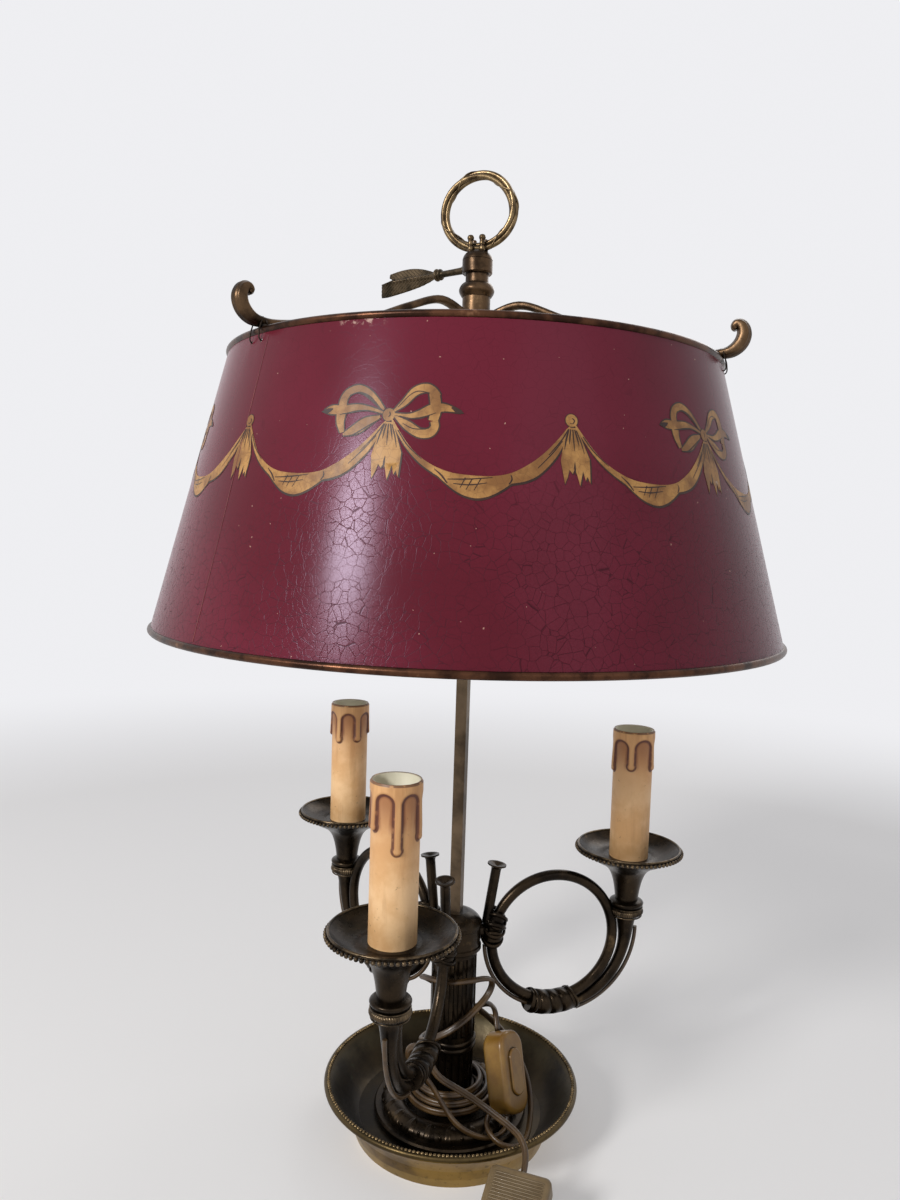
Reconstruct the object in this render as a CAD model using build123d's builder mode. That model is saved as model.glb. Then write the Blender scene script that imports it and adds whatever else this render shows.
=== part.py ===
from build123d import *
import os
from math import atan2, cos, degrees, pi, radians, sin, sqrt, tan

# A bouillotte lamp: a dished base, a fluted column with three hunting-horn candle arms,
# and a painted metal shade that slides on a square rod and is clamped by an arrow key.
# Millimetres, +Z up, origin at the centre of the foot on the table, front arm along -Y.

os.makedirs("parts", exist_ok=True)

# ---- small clearances ------------------------------------------------------------------
SLIDE_GAP = 0.12            # each side of the rod in the slider's square bore
BOLT_GAP = 0.2              # a clearance hole over its rod, all round
TURN_GAP = 0.06             # a turning spindle in its hole, all round
REST_GAP = 0.3              # between pieces that move apart
SLEEVE_GAP = 0.1            # candle sleeve over its lampholder, all round

# ---- dished base -----------------------------------------------------------------------
FOOT_RADIUS = 63.0
DISH_SHEET = 2.0
DISH_FLOOR = 10.0           # height of the floor's upper face
DISH_WELL_RADIUS = 60.0     # where the floor meets the flare
DISH_LIP_RADIUS = 83.0
DISH_LIP_HEIGHT = 32.4
LIP_ROLL_RADIUS = 1.6
LIP_BEAD_RADIUS = 1.2
LIP_BEAD_PATH = 78.0

# ---- column ----------------------------------------------------------------------------
PLINTH_STEP_RADIUS = 50.0
PLINTH_STEP_HEIGHT = 3.5
FRIEZE_RADIUS = 45.0
FRIEZE_INNER_RADIUS = 30.5
FRIEZE_HEIGHT = 10.5
PLINTH_SHELF_HEIGHT = 6.5
BOSS_RADIUS = 16.5
BOSS_HEIGHT = 18.0
DRUM_RADIUS = 14.3
DRUM_HEIGHT = 25.0
DRUM_REEDS = 18
MOULDING_RADIUS = 15.7
MOULDING_HEIGHT = 8.0
SHAFT_RADIUS = 14.7
SHAFT_HEIGHT = 58.0
SHAFT_FLUTES = 16
FLUTE_RADIUS = 1.9
CAPITAL_RADIUS = 17.2
CAPITAL_GROOVE = 0.7
CAPITAL_BAND_HEIGHT = 18.0
CAPITAL_DOME_HEIGHT = 7.0
CAPITAL_DOME_RADIUS = 8.0
TIE_ROD_RADIUS = 5.0
TIE_ROD_START = 0.8
NUT_ACROSS_FLATS = 17.0
NUT_HEIGHT = 5.0
WASHER_RADIUS = 19.0
WASHER_THICKNESS = 1.6

# ---- square rod and finial -------------------------------------------------------------
ROD_SIDE = 7.3
ROD_TENON_RADIUS = 3.0
ROD_TENON_LENGTH = 5.0
ROD_TOP = 557.6
FINIAL_RADIUS = 9.4
FINIAL_DOME_HEIGHT = 5.2
FINIAL_TOP_RADIUS = 5.6
RING_RADIUS = 21.65         # of the handle ring's centre line
RING_TUBE_RADIUS = 2.95
RING_WRAP_RADIUS = 3.35
CLAW_SPREAD = 3.7           # half the distance between the two claws
CLAW_RADIUS = 1.6
CLAW_HEIGHT = 8.6
CLAW_SINK = 3.0             # the claws are rooted in the dome

# ---- slider with its arrow key and scroll arms -------------------------------------------
HUB_BOTTOM = 508.0
HUB_BASE_RADIUS = 8.7
HUB_BASE_TOP = 535.0
HUB_BULGE_RADIUS = 11.0
HUB_NECK_RADIUS = 7.1
HUB_COLLAR_BOTTOM = 549.2
HUB_COLLAR_RADIUS = 9.4
KEY_HEIGHT = 553.2
KEY_AZIMUTH = 160.0
KEY_SPINDLE_RADIUS = 1.5
KEY_SHANK_RADIUS = 2.1
KEY_SHANK_LENGTH = 19.0
KEY_KNOB_RADIUS = 3.6
KEY_KNOB_LENGTH = 4.6
KEY_VANE_LENGTH = 48.0
KEY_VANE_WIDTH = 16.0
KEY_VANE_THICKNESS = 2.0
KEY_QUILL_RADIUS = 1.7

# ---- shade -----------------------------------------------------------------------------
SHADE_TOP = 490.8           # height of the top bead's centre line
SHADE_BOTTOM = 329.0
SHADE_TOP_RADIUS = 148.4    # of the bead's centre line
SHADE_BOTTOM_RADIUS = 190.9
SHADE_SHEET = 0.8
SHADE_STAND_OFF = 0.5       # bead's centre line inside the sheet's outer face
SHADE_BEAD_RADIUS = 2.0
TIE_WIRE_RADIUS = 0.5
TIE_HOLE_RADIUS = 1.1
TIE_HOLE_DROP = 5.5         # below the top bead's centre line
SCROLL_AZIMUTHS = {"left": -123.0, "right": -3.0, "back": 117.0}
SCROLL_WIDTH = 8.0
SCROLL_CURL_RADIUS = 9.0

# ---- horn arms ---------------------------------------------------------------------------
ARM_AZIMUTHS = {"front": -90.0, "right": 30.0, "left": 150.0}
KNOT_REACH = 25.0           # from the lamp's axis to the coil's near side, on its centre line
BELL_STAND_OFF = 9.5        # from the coil's far side to the candle's axis
LOOP_CENTRE_HEIGHT = 121.0
LOOP_RADIUS = 42.5
LOOP_TUBE_RADIUS = 3.5
TUBE_GAP = 0.2              # between the coil, the bell tube and the flex lead beside them
BELL_BEND_SPREAD = 7.5      # the bell tube's bend is that much wider than the coil
BELL_START_RADIUS = 2.4
BELL_START_SLACK = 0.3      # degrees between the wrap's end and the bell tube's
BELL_MIDDLE_RADIUS = 3.7
BELL_BEND_END_RADIUS = 5.2
BELL_END_RADIUS = 6.5
WRAP_DROP = 2.7             # the wrap's centre line lies that far outside the coil's
WRAP_RADIUS = 6.6
WRAP_RIDGE = 0.6
WRAP_HALF_ANGLE = 20.0
WRAP_RIDGE_ARC = 3.0        # degrees round the coil, as the next two are
KNOT_START = 155.0
KNOT_ARC = 27.7
KNOT_RADIUS = 6.9
KNOT_STEP = 1.4             # the knot's ends are that much slimmer
STUB_RADIUS = 4.0
STUB_RISE = 8.0             # above the coil's centre, as the next two are
MOUTHPIPE_RADIUS = 3.25
MOUTHPIPE_FOOT_RISE = 13.0
MOUTHPIPE_TOP_RISE = 51.5
MOUTHPIPE_FOOT_INSET = 4.0  # from the coil's near side towards the column
MOUTHPIPE_TOP_SPREAD = 1.7  # from the coil's near side outwards
MOUTHPIECE_RADIUS = 6.2
MOUTHPIECE_FLARE = 3.0
MOUTHPIECE_LIP = 1.0
LEAD_RADIUS = 1.3
COLLAR_RISE = 10.0          # above the coil's centre
COLLAR_RADIUS = 11.0
COLLAR_HEIGHT = 13.5
COLLAR_NOTCH_RADIUS = 4.3     # a straight groove along the coil, that the collar is notched with
COLLAR_NOTCH_ANGLE = 21.0     # where the groove lies, degrees round the coil
CUP_NECK_RADIUS = 7.7
CUP_RIM_RADIUS = 34.4
CUP_RISE = 36.3             # from the collar to the cup's rim
CUP_DEPTH = 6.2
CUP_BEAD_RADIUS = 1.1
CANDLE_RADIUS = 13.0
CANDLE_WALL = 1.1
CANDLE_HEIGHT = 86.8
CANDLE_FLARE = 0.9
HOLDER_HEIGHT = 74.0
HOLDER_SOCKET_RADIUS = 6.9
HOLDER_SOCKET_DEPTH = 27.0
HOLDER_STEM_RADIUS = 5.0
HOLDER_FOOT_HEIGHT = 3.0
HOLDER_SHOULDER = 5.0
NIPPLE_RADIUS = 4.8
NIPPLE_LENGTH = 12.0

# ---- flex, switch and plug ---------------------------------------------------------------
CORD_RADIUS = 2.2
CORD_ARC_SHARE = 0.45       # of the shorter run, that an arc of the route takes
BUSH_RADIUS = 3.6
BUSH_DEPTH = 6.0
BUSH_AZIMUTH = 100.0
WINDING_RADIUS = 29.0
WINDING_EDGE = 3.5          # height of the winding's upright outer edge
WINDING_TOP_RADIUS = 19.5
WINDING_HEIGHT = 16.5
SWITCH_FOOT = (42.8, -18.0, 25.0)     # where the plug-side flex leaves
SWITCH_HEAD = (30.6, 0.8, 67.2)       # where the lamp-side flex leaves
SWITCH_FACING = -18.0                 # azimuth
SWITCH_RISE = 26.6                    # of its face above level, at that azimuth, in degrees
SWITCH_WIDTH = 23.0
SWITCH_CORNER = 10.0
SWITCH_BACK_DEPTH = 5.5
SWITCH_FRONT_DEPTH = 11.0
SWITCH_EDGE = 3.0
SWITCH_EXIT_RUN = 6.0                 # the flex leaves each end of the switch straight
ROCKER_LENGTH = 27.0
ROCKER_WIDTH = 11.0
ROCKER_PROUD = 1.6
ROCKER_DEPTH = 3.9
ROCKER_GAP = 0.4
ROCKER_DROP = 1.2                     # free depth under the rocker
ROCKER_PIN_RADIUS = 1.1
ROCKER_PIN_LENGTH = 2.0
ROCKER_PIN_DEPTH = 2.4
PLUG_WIDTH = 36.0
PLUG_LENGTH = 38.0
PLUG_THICKNESS = 13.0
PLUG_CORNER = 4.0
PLUG_EDGE = 2.5
PLUG_ENTRY = (65.3, -72.6, 27.6)
PLUG_AZIMUTH = -93.0
PLUG_SLOPE = 25.0
PLUG_EXIT_RUN = 10.0
PIN_RADIUS = 2.0
PIN_LENGTH = 19.0
PIN_ROOT = 8.0
PIN_SPACING = 19.0

# ---- heights and reaches that follow -------------------------------------------------------
PLINTH_TOP = DISH_FLOOR + BOSS_HEIGHT
DRUM_TOP = PLINTH_TOP + DRUM_HEIGHT
MOULDING_TOP = DRUM_TOP + MOULDING_HEIGHT
SHAFT_TOP = MOULDING_TOP + SHAFT_HEIGHT
CAPITAL_BAND_TOP = SHAFT_TOP + CAPITAL_BAND_HEIGHT
CAPITAL_TOP = CAPITAL_BAND_TOP + CAPITAL_DOME_HEIGHT
ROD_FOOT = CAPITAL_TOP - 3.0
RING_HEIGHT = ROD_TOP + FINIAL_DOME_HEIGHT + RING_RADIUS + RING_TUBE_RADIUS - 0.4
HUB_TOP = ROD_TOP - REST_GAP
LOOP_CENTRE_REACH = KNOT_REACH + LOOP_RADIUS
CANDLE_REACH = LOOP_CENTRE_REACH + LOOP_RADIUS + BELL_STAND_OFF
BELL_BEND_RADIUS = LOOP_RADIUS + BELL_BEND_SPREAD
WRAP_PATH_RADIUS = LOOP_RADIUS + WRAP_DROP
STUB_HEIGHT = LOOP_CENTRE_HEIGHT + STUB_RISE
COLLAR_BOTTOM = LOOP_CENTRE_HEIGHT + COLLAR_RISE
COLLAR_TOP = COLLAR_BOTTOM + COLLAR_HEIGHT
CUP_RIM_HEIGHT = COLLAR_TOP + CUP_RISE
CUP_FLOOR = CUP_RIM_HEIGHT - CUP_DEPTH
CANDLE_TOP = CUP_FLOOR + CANDLE_HEIGHT


def vertical_plane(azimuth, reach=0.0, height=0.0):
    """The upright plane through the lamp's axis at an azimuth: x outwards, y up."""
    outward = Vector(cos(radians(azimuth)), sin(radians(azimuth)), 0)
    across = Vector(sin(radians(azimuth)), -cos(radians(azimuth)), 0)
    return Plane(origin=outward * reach + Vector(0, 0, height), x_dir=outward, z_dir=across)


def upright_axis(azimuth, reach):
    """The vertical axis at a reach from the lamp's own axis."""
    return Axis((reach * cos(radians(azimuth)), reach * sin(radians(azimuth)), 0), (0, 0, 1))


def save(piece, name):
    """Label a finished piece and write its STEP file."""
    piece.part.label = name
    export_step(piece.part, f"parts/{name}.step")


# ==== base ==================================================================================
DISH_FLARE_MIDDLE = (FOOT_RADIUS + 4.5, DISH_FLOOR + 3.0)

with BuildPart() as base_dish:
    with BuildSketch(Plane.XZ) as dish_section:
        with BuildLine() as dish_outline:
            foot = Line((FOOT_RADIUS - DISH_SHEET, 0), (FOOT_RADIUS, 0))
            foot_wall = Spline(foot @ 1, (FOOT_RADIUS + 2.2, DISH_FLOOR * 0.6), DISH_FLARE_MIDDLE)
            flare = Spline(
                foot_wall @ 1,
                (DISH_LIP_RADIUS - 8.5, DISH_LIP_HEIGHT - 9.0),
                (DISH_LIP_RADIUS - 0.3, DISH_LIP_HEIGHT - 2 * LIP_ROLL_RADIUS),
            )
            roll = ThreePointArc(
                flare @ 1,
                (DISH_LIP_RADIUS, DISH_LIP_HEIGHT - LIP_ROLL_RADIUS),
                (DISH_LIP_RADIUS - LIP_ROLL_RADIUS, DISH_LIP_HEIGHT),
            )
            lip = Line(roll @ 1, (DISH_LIP_RADIUS - LIP_ROLL_RADIUS - 1.6, DISH_LIP_HEIGHT - 0.8))
            inner_flare = Spline(
                lip @ 1,
                (LIP_BEAD_PATH - 3.0, DISH_LIP_HEIGHT - 6.2),
                (DISH_WELL_RADIUS + 5.0, DISH_FLOOR + 3.6),
                (DISH_WELL_RADIUS, DISH_FLOOR),
            )
            floor = Polyline(
                inner_flare @ 1,
                (TIE_ROD_RADIUS + BOLT_GAP, DISH_FLOOR),
                (TIE_ROD_RADIUS + BOLT_GAP, DISH_FLOOR - DISH_SHEET),
                (FOOT_RADIUS - DISH_SHEET, DISH_FLOOR - DISH_SHEET),
                (FOOT_RADIUS - DISH_SHEET, 0),
            )
        make_face()
    revolve(axis=Axis.Z)
save(base_dish, "base_dish")

with BuildPart() as dish_bead_ring:
    with BuildSketch(Plane.XZ):
        with Locations((LIP_BEAD_PATH, DISH_LIP_HEIGHT - 2.6)):
            Circle(LIP_BEAD_RADIUS)
        add(dish_section.sketch_local, mode=Mode.SUBTRACT)
    revolve(axis=Axis.Z)
save(dish_bead_ring, "dish_bead_ring")

with BuildPart() as base_washer:
    with BuildSketch(Plane.XY.offset(DISH_FLOOR - DISH_SHEET - WASHER_THICKNESS)):
        Circle(WASHER_RADIUS)
        Circle(TIE_ROD_RADIUS + BOLT_GAP, mode=Mode.SUBTRACT)
    extrude(amount=WASHER_THICKNESS)
save(base_washer, "base_washer")

with BuildPart() as base_nut:
    with BuildSketch(Plane.XY.offset(DISH_FLOOR - DISH_SHEET - WASHER_THICKNESS - NUT_HEIGHT)):
        RegularPolygon(NUT_ACROSS_FLATS / 2, 6, major_radius=False)
        Circle(TIE_ROD_RADIUS, mode=Mode.SUBTRACT)
    extrude(amount=NUT_HEIGHT)
save(base_nut, "base_nut")

# ==== column =================================================================================
BUSH_HEIGHT = (DISH_FLOOR + PLINTH_SHELF_HEIGHT + PLINTH_TOP) / 2
bush_plane = Plane(origin=(0, 0, BUSH_HEIGHT), z_dir=vertical_plane(BUSH_AZIMUTH).x_dir)

with BuildPart() as plinth:
    with BuildSketch(Plane.XZ):
        with BuildLine():
            step = Polyline(
                (TIE_ROD_RADIUS + BOLT_GAP, DISH_FLOOR),
                (PLINTH_STEP_RADIUS, DISH_FLOOR),
                (PLINTH_STEP_RADIUS, DISH_FLOOR + PLINTH_STEP_HEIGHT - 1.0),
                (PLINTH_STEP_RADIUS - 1.0, DISH_FLOOR + PLINTH_STEP_HEIGHT),
                (FRIEZE_RADIUS, DISH_FLOOR + PLINTH_STEP_HEIGHT),
            )
            frieze = Spline(
                step @ 1,
                (FRIEZE_RADIUS - 1.6, DISH_FLOOR + FRIEZE_HEIGHT - 2.6),
                ((FRIEZE_RADIUS + FRIEZE_INNER_RADIUS) / 2, DISH_FLOOR + FRIEZE_HEIGHT),
                (FRIEZE_INNER_RADIUS, DISH_FLOOR + PLINTH_SHELF_HEIGHT + 1.5),
            )
            Polyline(
                frieze @ 1,
                (FRIEZE_INNER_RADIUS, DISH_FLOOR + PLINTH_SHELF_HEIGHT),
                (BOSS_RADIUS, DISH_FLOOR + PLINTH_SHELF_HEIGHT),
                (BOSS_RADIUS, PLINTH_TOP - 1.0),
                (BOSS_RADIUS - 1.0, PLINTH_TOP),
                (TIE_ROD_RADIUS + BOLT_GAP, PLINTH_TOP),
                (TIE_ROD_RADIUS + BOLT_GAP, DISH_FLOOR),
            )
        make_face()
    revolve(axis=Axis.Z)
    with BuildSketch(bush_plane):
        Circle(BUSH_RADIUS)
    extrude(amount=BOSS_RADIUS + REST_GAP, mode=Mode.SUBTRACT)
save(plinth, "leaf_plinth")

with BuildPart() as cord_bush:
    with BuildSketch(bush_plane.offset(BOSS_RADIUS - BUSH_DEPTH)):
        Circle(BUSH_RADIUS)
        Circle(CORD_RADIUS, mode=Mode.SUBTRACT)
    extrude(amount=BUSH_DEPTH)
    with BuildSketch(Plane.XY.offset(DISH_FLOOR)):
        Circle(BOSS_RADIUS)
    extrude(amount=BOSS_HEIGHT, mode=Mode.INTERSECT)
save(cord_bush, "cord_bush")

REED_RADIUS = pi * DRUM_RADIUS / DRUM_REEDS * 0.98
with BuildPart() as lower_drum:
    with BuildSketch(Plane.XY.offset(PLINTH_TOP)):
        Circle(DRUM_RADIUS - REED_RADIUS * 0.5)
        with PolarLocations(DRUM_RADIUS - REED_RADIUS, DRUM_REEDS):
            Circle(REED_RADIUS)
        Circle(TIE_ROD_RADIUS + BOLT_GAP, mode=Mode.SUBTRACT)
    extrude(amount=DRUM_HEIGHT)
save(lower_drum, "reeded_drum")

with BuildPart() as ring_moulding:
    with BuildSketch(Plane.XZ):
        with BuildLine():
            lower_edge = Line((TIE_ROD_RADIUS + BOLT_GAP, DRUM_TOP), (MOULDING_RADIUS - 1.8, DRUM_TOP))
            lower_roll = ThreePointArc(
                lower_edge @ 1,
                (MOULDING_RADIUS, DRUM_TOP + MOULDING_HEIGHT * 0.25),
                (MOULDING_RADIUS - 1.8, DRUM_TOP + MOULDING_HEIGHT * 0.5),
            )
            upper_roll = ThreePointArc(
                lower_roll @ 1,
                (MOULDING_RADIUS, DRUM_TOP + MOULDING_HEIGHT * 0.75),
                (MOULDING_RADIUS - 1.8, MOULDING_TOP),
            )
            Polyline(
                upper_roll @ 1,
                (TIE_ROD_RADIUS + BOLT_GAP, MOULDING_TOP),
                (TIE_ROD_RADIUS + BOLT_GAP, DRUM_TOP),
            )
        make_face()
    revolve(axis=Axis.Z)
save(ring_moulding, "ring_moulding")

FLUTE_MARGIN = 3.0
with BuildPart() as column_shaft:
    with BuildSketch(Plane.XY.offset(MOULDING_TOP)):
        Circle(SHAFT_RADIUS)
        Circle(TIE_ROD_RADIUS + BOLT_GAP, mode=Mode.SUBTRACT)
    extrude(amount=SHAFT_HEIGHT)
    with BuildSketch(Plane.XY.offset(MOULDING_TOP + FLUTE_MARGIN)):
        with PolarLocations(SHAFT_RADIUS + FLUTE_RADIUS * 0.25, SHAFT_FLUTES):
            Circle(FLUTE_RADIUS)
    extrude(amount=SHAFT_HEIGHT - 2 * FLUTE_MARGIN, mode=Mode.SUBTRACT)
save(column_shaft, "column_shaft")

TIE_ROD_TOP = CAPITAL_BAND_TOP - 4.0
with BuildPart() as capital:
    with BuildSketch(Plane.XZ):
        with BuildLine():
            band = Polyline(
                (0, TIE_ROD_TOP),
                (TIE_ROD_RADIUS + BOLT_GAP, TIE_ROD_TOP),
                (TIE_ROD_RADIUS + BOLT_GAP, SHAFT_TOP),
                (CAPITAL_RADIUS - 0.8, SHAFT_TOP),
                (CAPITAL_RADIUS, SHAFT_TOP + 0.8),
                (CAPITAL_RADIUS, SHAFT_TOP + 3.0),
                (CAPITAL_RADIUS - CAPITAL_GROOVE, SHAFT_TOP + 3.6),
                (CAPITAL_RADIUS - CAPITAL_GROOVE, CAPITAL_BAND_TOP - 3.0),
                (CAPITAL_RADIUS, CAPITAL_BAND_TOP - 2.4),
                (CAPITAL_RADIUS, CAPITAL_BAND_TOP),
            )
            dome = Spline(
                band @ 1,
                (CAPITAL_RADIUS * 0.8, CAPITAL_BAND_TOP + CAPITAL_DOME_HEIGHT * 0.6),
                (CAPITAL_DOME_RADIUS, CAPITAL_TOP),
            )
            Polyline(dome @ 1, (0, CAPITAL_TOP), (0, TIE_ROD_TOP))
        make_face()
    revolve(axis=Axis.Z)
    with BuildSketch(Plane.XY.offset(ROD_FOOT)):
        Rectangle(ROD_SIDE, ROD_SIDE)
    extrude(amount=CAPITAL_TOP - ROD_FOOT, mode=Mode.SUBTRACT)
    with BuildSketch(Plane.XY.offset(ROD_FOOT - ROD_TENON_LENGTH)):
        Circle(ROD_TENON_RADIUS)
    extrude(amount=ROD_TENON_LENGTH, mode=Mode.SUBTRACT)
save(capital, "capital")

with BuildPart() as tie_rod:
    with BuildSketch(Plane.XY.offset(TIE_ROD_START)):
        Circle(TIE_ROD_RADIUS)
    extrude(amount=TIE_ROD_TOP - TIE_ROD_START)
    chamfer(tie_rod.faces().sort_by(Axis.Z)[0].edges(), 0.8)
save(tie_rod, "tie_rod")

with BuildPart() as square_rod:
    with BuildSketch(Plane.XY.offset(ROD_FOOT)):
        Rectangle(ROD_SIDE, ROD_SIDE)
    extrude(amount=ROD_TOP - ROD_FOOT)
    with BuildSketch(Plane.XY.offset(ROD_FOOT - ROD_TENON_LENGTH)):
        Circle(ROD_TENON_RADIUS)
    extrude(amount=ROD_TENON_LENGTH)
save(square_rod, "square_rod")

# ==== finial and ring handle ===================================================================
FINIAL_TOP = ROD_TOP + FINIAL_DOME_HEIGHT

with BuildPart() as ring_handle:
    with BuildSketch(Plane.XY.offset(RING_HEIGHT)):
        with Locations((RING_RADIUS, 0)):
            Circle(RING_TUBE_RADIUS)
    revolve(axis=Axis((0, 0, RING_HEIGHT), (0, 1, 0)))
    for wrap_turn in (35.0, 115.0, 190.0, 325.0):
        start = Vector(RING_RADIUS * cos(radians(wrap_turn)), 0, RING_RADIUS * sin(radians(wrap_turn)))
        across = Vector(-sin(radians(wrap_turn)), 0, cos(radians(wrap_turn)))
        with BuildSketch(Plane(origin=start + Vector(0, 0, RING_HEIGHT), x_dir=(0, 1, 0), z_dir=across)):
            Circle(RING_WRAP_RADIUS)
        revolve(axis=Axis((0, 0, RING_HEIGHT), (0, -1, 0)), revolution_arc=14.0)
save(ring_handle, "ring_handle")

with BuildPart() as finial:
    with BuildSketch(Plane.XZ):
        with BuildLine():
            base_line = Line((0, ROD_TOP), (FINIAL_RADIUS, ROD_TOP))
            dome_line = Spline(
                base_line @ 1,
                (FINIAL_RADIUS * 0.91, ROD_TOP + FINIAL_DOME_HEIGHT * 0.5),
                (FINIAL_TOP_RADIUS, FINIAL_TOP),
            )
            Polyline(dome_line @ 1, (0, FINIAL_TOP), (0, ROD_TOP))
        make_face()
    revolve(axis=Axis.Z)
    with BuildSketch(Plane.XY.offset(FINIAL_TOP - CLAW_SINK)):
        with GridLocations(2 * CLAW_SPREAD, 2 * (RING_TUBE_RADIUS + CLAW_RADIUS * 0.7), 2, 2):
            Circle(CLAW_RADIUS)
    extrude(amount=CLAW_SINK + CLAW_HEIGHT)
    fillet(finial.faces().sort_by(Axis.Z)[-4:].edges(), CLAW_RADIUS * 0.6)
    add(ring_handle.part, mode=Mode.SUBTRACT)
save(finial, "finial_cap")

# ==== slider hub, key and scroll arms ============================================================
with BuildPart() as slider_hub:
    with BuildSketch(Plane.XZ):
        with BuildLine():
            hub_base = Polyline(
                (0, HUB_BOTTOM), (HUB_BASE_RADIUS, HUB_BOTTOM), (HUB_BASE_RADIUS, HUB_BASE_TOP),
            )
            hub_bulge = Spline(
                hub_base @ 1,
                (HUB_BASE_RADIUS + 0.9, HUB_BASE_TOP + 0.8),
                (HUB_BULGE_RADIUS, HUB_BASE_TOP + 4.2),
                (HUB_NECK_RADIUS + 1.4, HUB_BASE_TOP + 8.4),
                (HUB_NECK_RADIUS, HUB_COLLAR_BOTTOM),
                tangents=((1, 0.2), (0, 1)),
            )
            Polyline(
                hub_bulge @ 1,
                (HUB_COLLAR_RADIUS - 0.6, HUB_COLLAR_BOTTOM),
                (HUB_COLLAR_RADIUS, HUB_COLLAR_BOTTOM + 0.8),
                (HUB_COLLAR_RADIUS, HUB_TOP),
                (0, HUB_TOP),
                (0, HUB_BOTTOM),
            )
        make_face()
    revolve(axis=Axis.Z)
    with BuildSketch(Plane.XY.offset(HUB_BOTTOM)):
        Rectangle(ROD_SIDE + 2 * SLIDE_GAP, ROD_SIDE + 2 * SLIDE_GAP)
    extrude(amount=HUB_TOP - HUB_BOTTOM, mode=Mode.SUBTRACT)
    with BuildSketch(Plane(origin=(0, 0, KEY_HEIGHT), z_dir=vertical_plane(KEY_AZIMUTH).x_dir)):
        Circle(KEY_SPINDLE_RADIUS + TURN_GAP)
    extrude(amount=HUB_COLLAR_RADIUS + 1.0, mode=Mode.SUBTRACT)
save(slider_hub, "slider_hub")

# The key lies along its own axis, x outwards from the lamp's axis, y up.
KEY_START = ROD_SIDE / 2 / cos(radians(180.0 - KEY_AZIMUTH)) + 0.8
KEY_SHANK_START = HUB_COLLAR_RADIUS + REST_GAP
KEY_KNOB_START = KEY_SHANK_START + KEY_SHANK_LENGTH
KEY_VANE_START = KEY_KNOB_START + KEY_KNOB_LENGTH - 1.0
KEY_END = KEY_VANE_START + KEY_VANE_LENGTH
key_plane = vertical_plane(KEY_AZIMUTH, height=KEY_HEIGHT)
key_axis = Axis((0, 0, KEY_HEIGHT), key_plane.x_dir)

with BuildPart() as arrow_key:
    with BuildSketch(key_plane):
        with BuildLine():
            spindle = Polyline(
                (KEY_START, 0),
                (KEY_START, KEY_SPINDLE_RADIUS - 0.4),
                (KEY_START + 0.4, KEY_SPINDLE_RADIUS),
                (KEY_SHANK_START, KEY_SPINDLE_RADIUS),
                (KEY_SHANK_START + 0.8, KEY_SHANK_RADIUS),
                (KEY_KNOB_START, KEY_SHANK_RADIUS),
            )
            knob = ThreePointArc(
                spindle @ 1,
                (KEY_KNOB_START + KEY_KNOB_LENGTH / 2, KEY_KNOB_RADIUS),
                (KEY_KNOB_START + KEY_KNOB_LENGTH, KEY_QUILL_RADIUS),
            )
            Polyline(
                knob @ 1,
                (KEY_END - 4.0, KEY_QUILL_RADIUS * 0.8),
                (KEY_END - 4.0, 0),
                (KEY_START, 0),
            )
        make_face()
    revolve(axis=key_axis)
    with BuildSketch(key_plane.offset(-KEY_VANE_THICKNESS / 2)):
        with BuildLine():
            lower_vane = Spline(
                (KEY_VANE_START, -1.5),
                (KEY_VANE_START + KEY_VANE_LENGTH * 0.45, -KEY_VANE_WIDTH * 0.36),
                (KEY_END - 1.0, -KEY_VANE_WIDTH * 0.55),
            )
            tip = Polyline(
                lower_vane @ 1,
                (KEY_END, -KEY_VANE_WIDTH * 0.40),
                (KEY_END - 3.5, -KEY_VANE_WIDTH * 0.27),
                (KEY_END - 0.5, -KEY_VANE_WIDTH * 0.16),
                (KEY_END - 1.0, KEY_VANE_WIDTH * 0.08),
                (KEY_END - 12.0, KEY_VANE_WIDTH * 0.12),
                (KEY_END - 6.5, KEY_VANE_WIDTH * 0.26),
                (KEY_END - 7.0, KEY_VANE_WIDTH * 0.36),
            )
            upper_vane = Spline(
                tip @ 1,
                (KEY_VANE_START + KEY_VANE_LENGTH * 0.45, KEY_VANE_WIDTH * 0.45),
                (KEY_VANE_START, 1.5),
            )
            Line(upper_vane @ 1, lower_vane @ 0)
        make_face()
    extrude(amount=KEY_VANE_THICKNESS)
save(arrow_key, "arrow_key")

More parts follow.
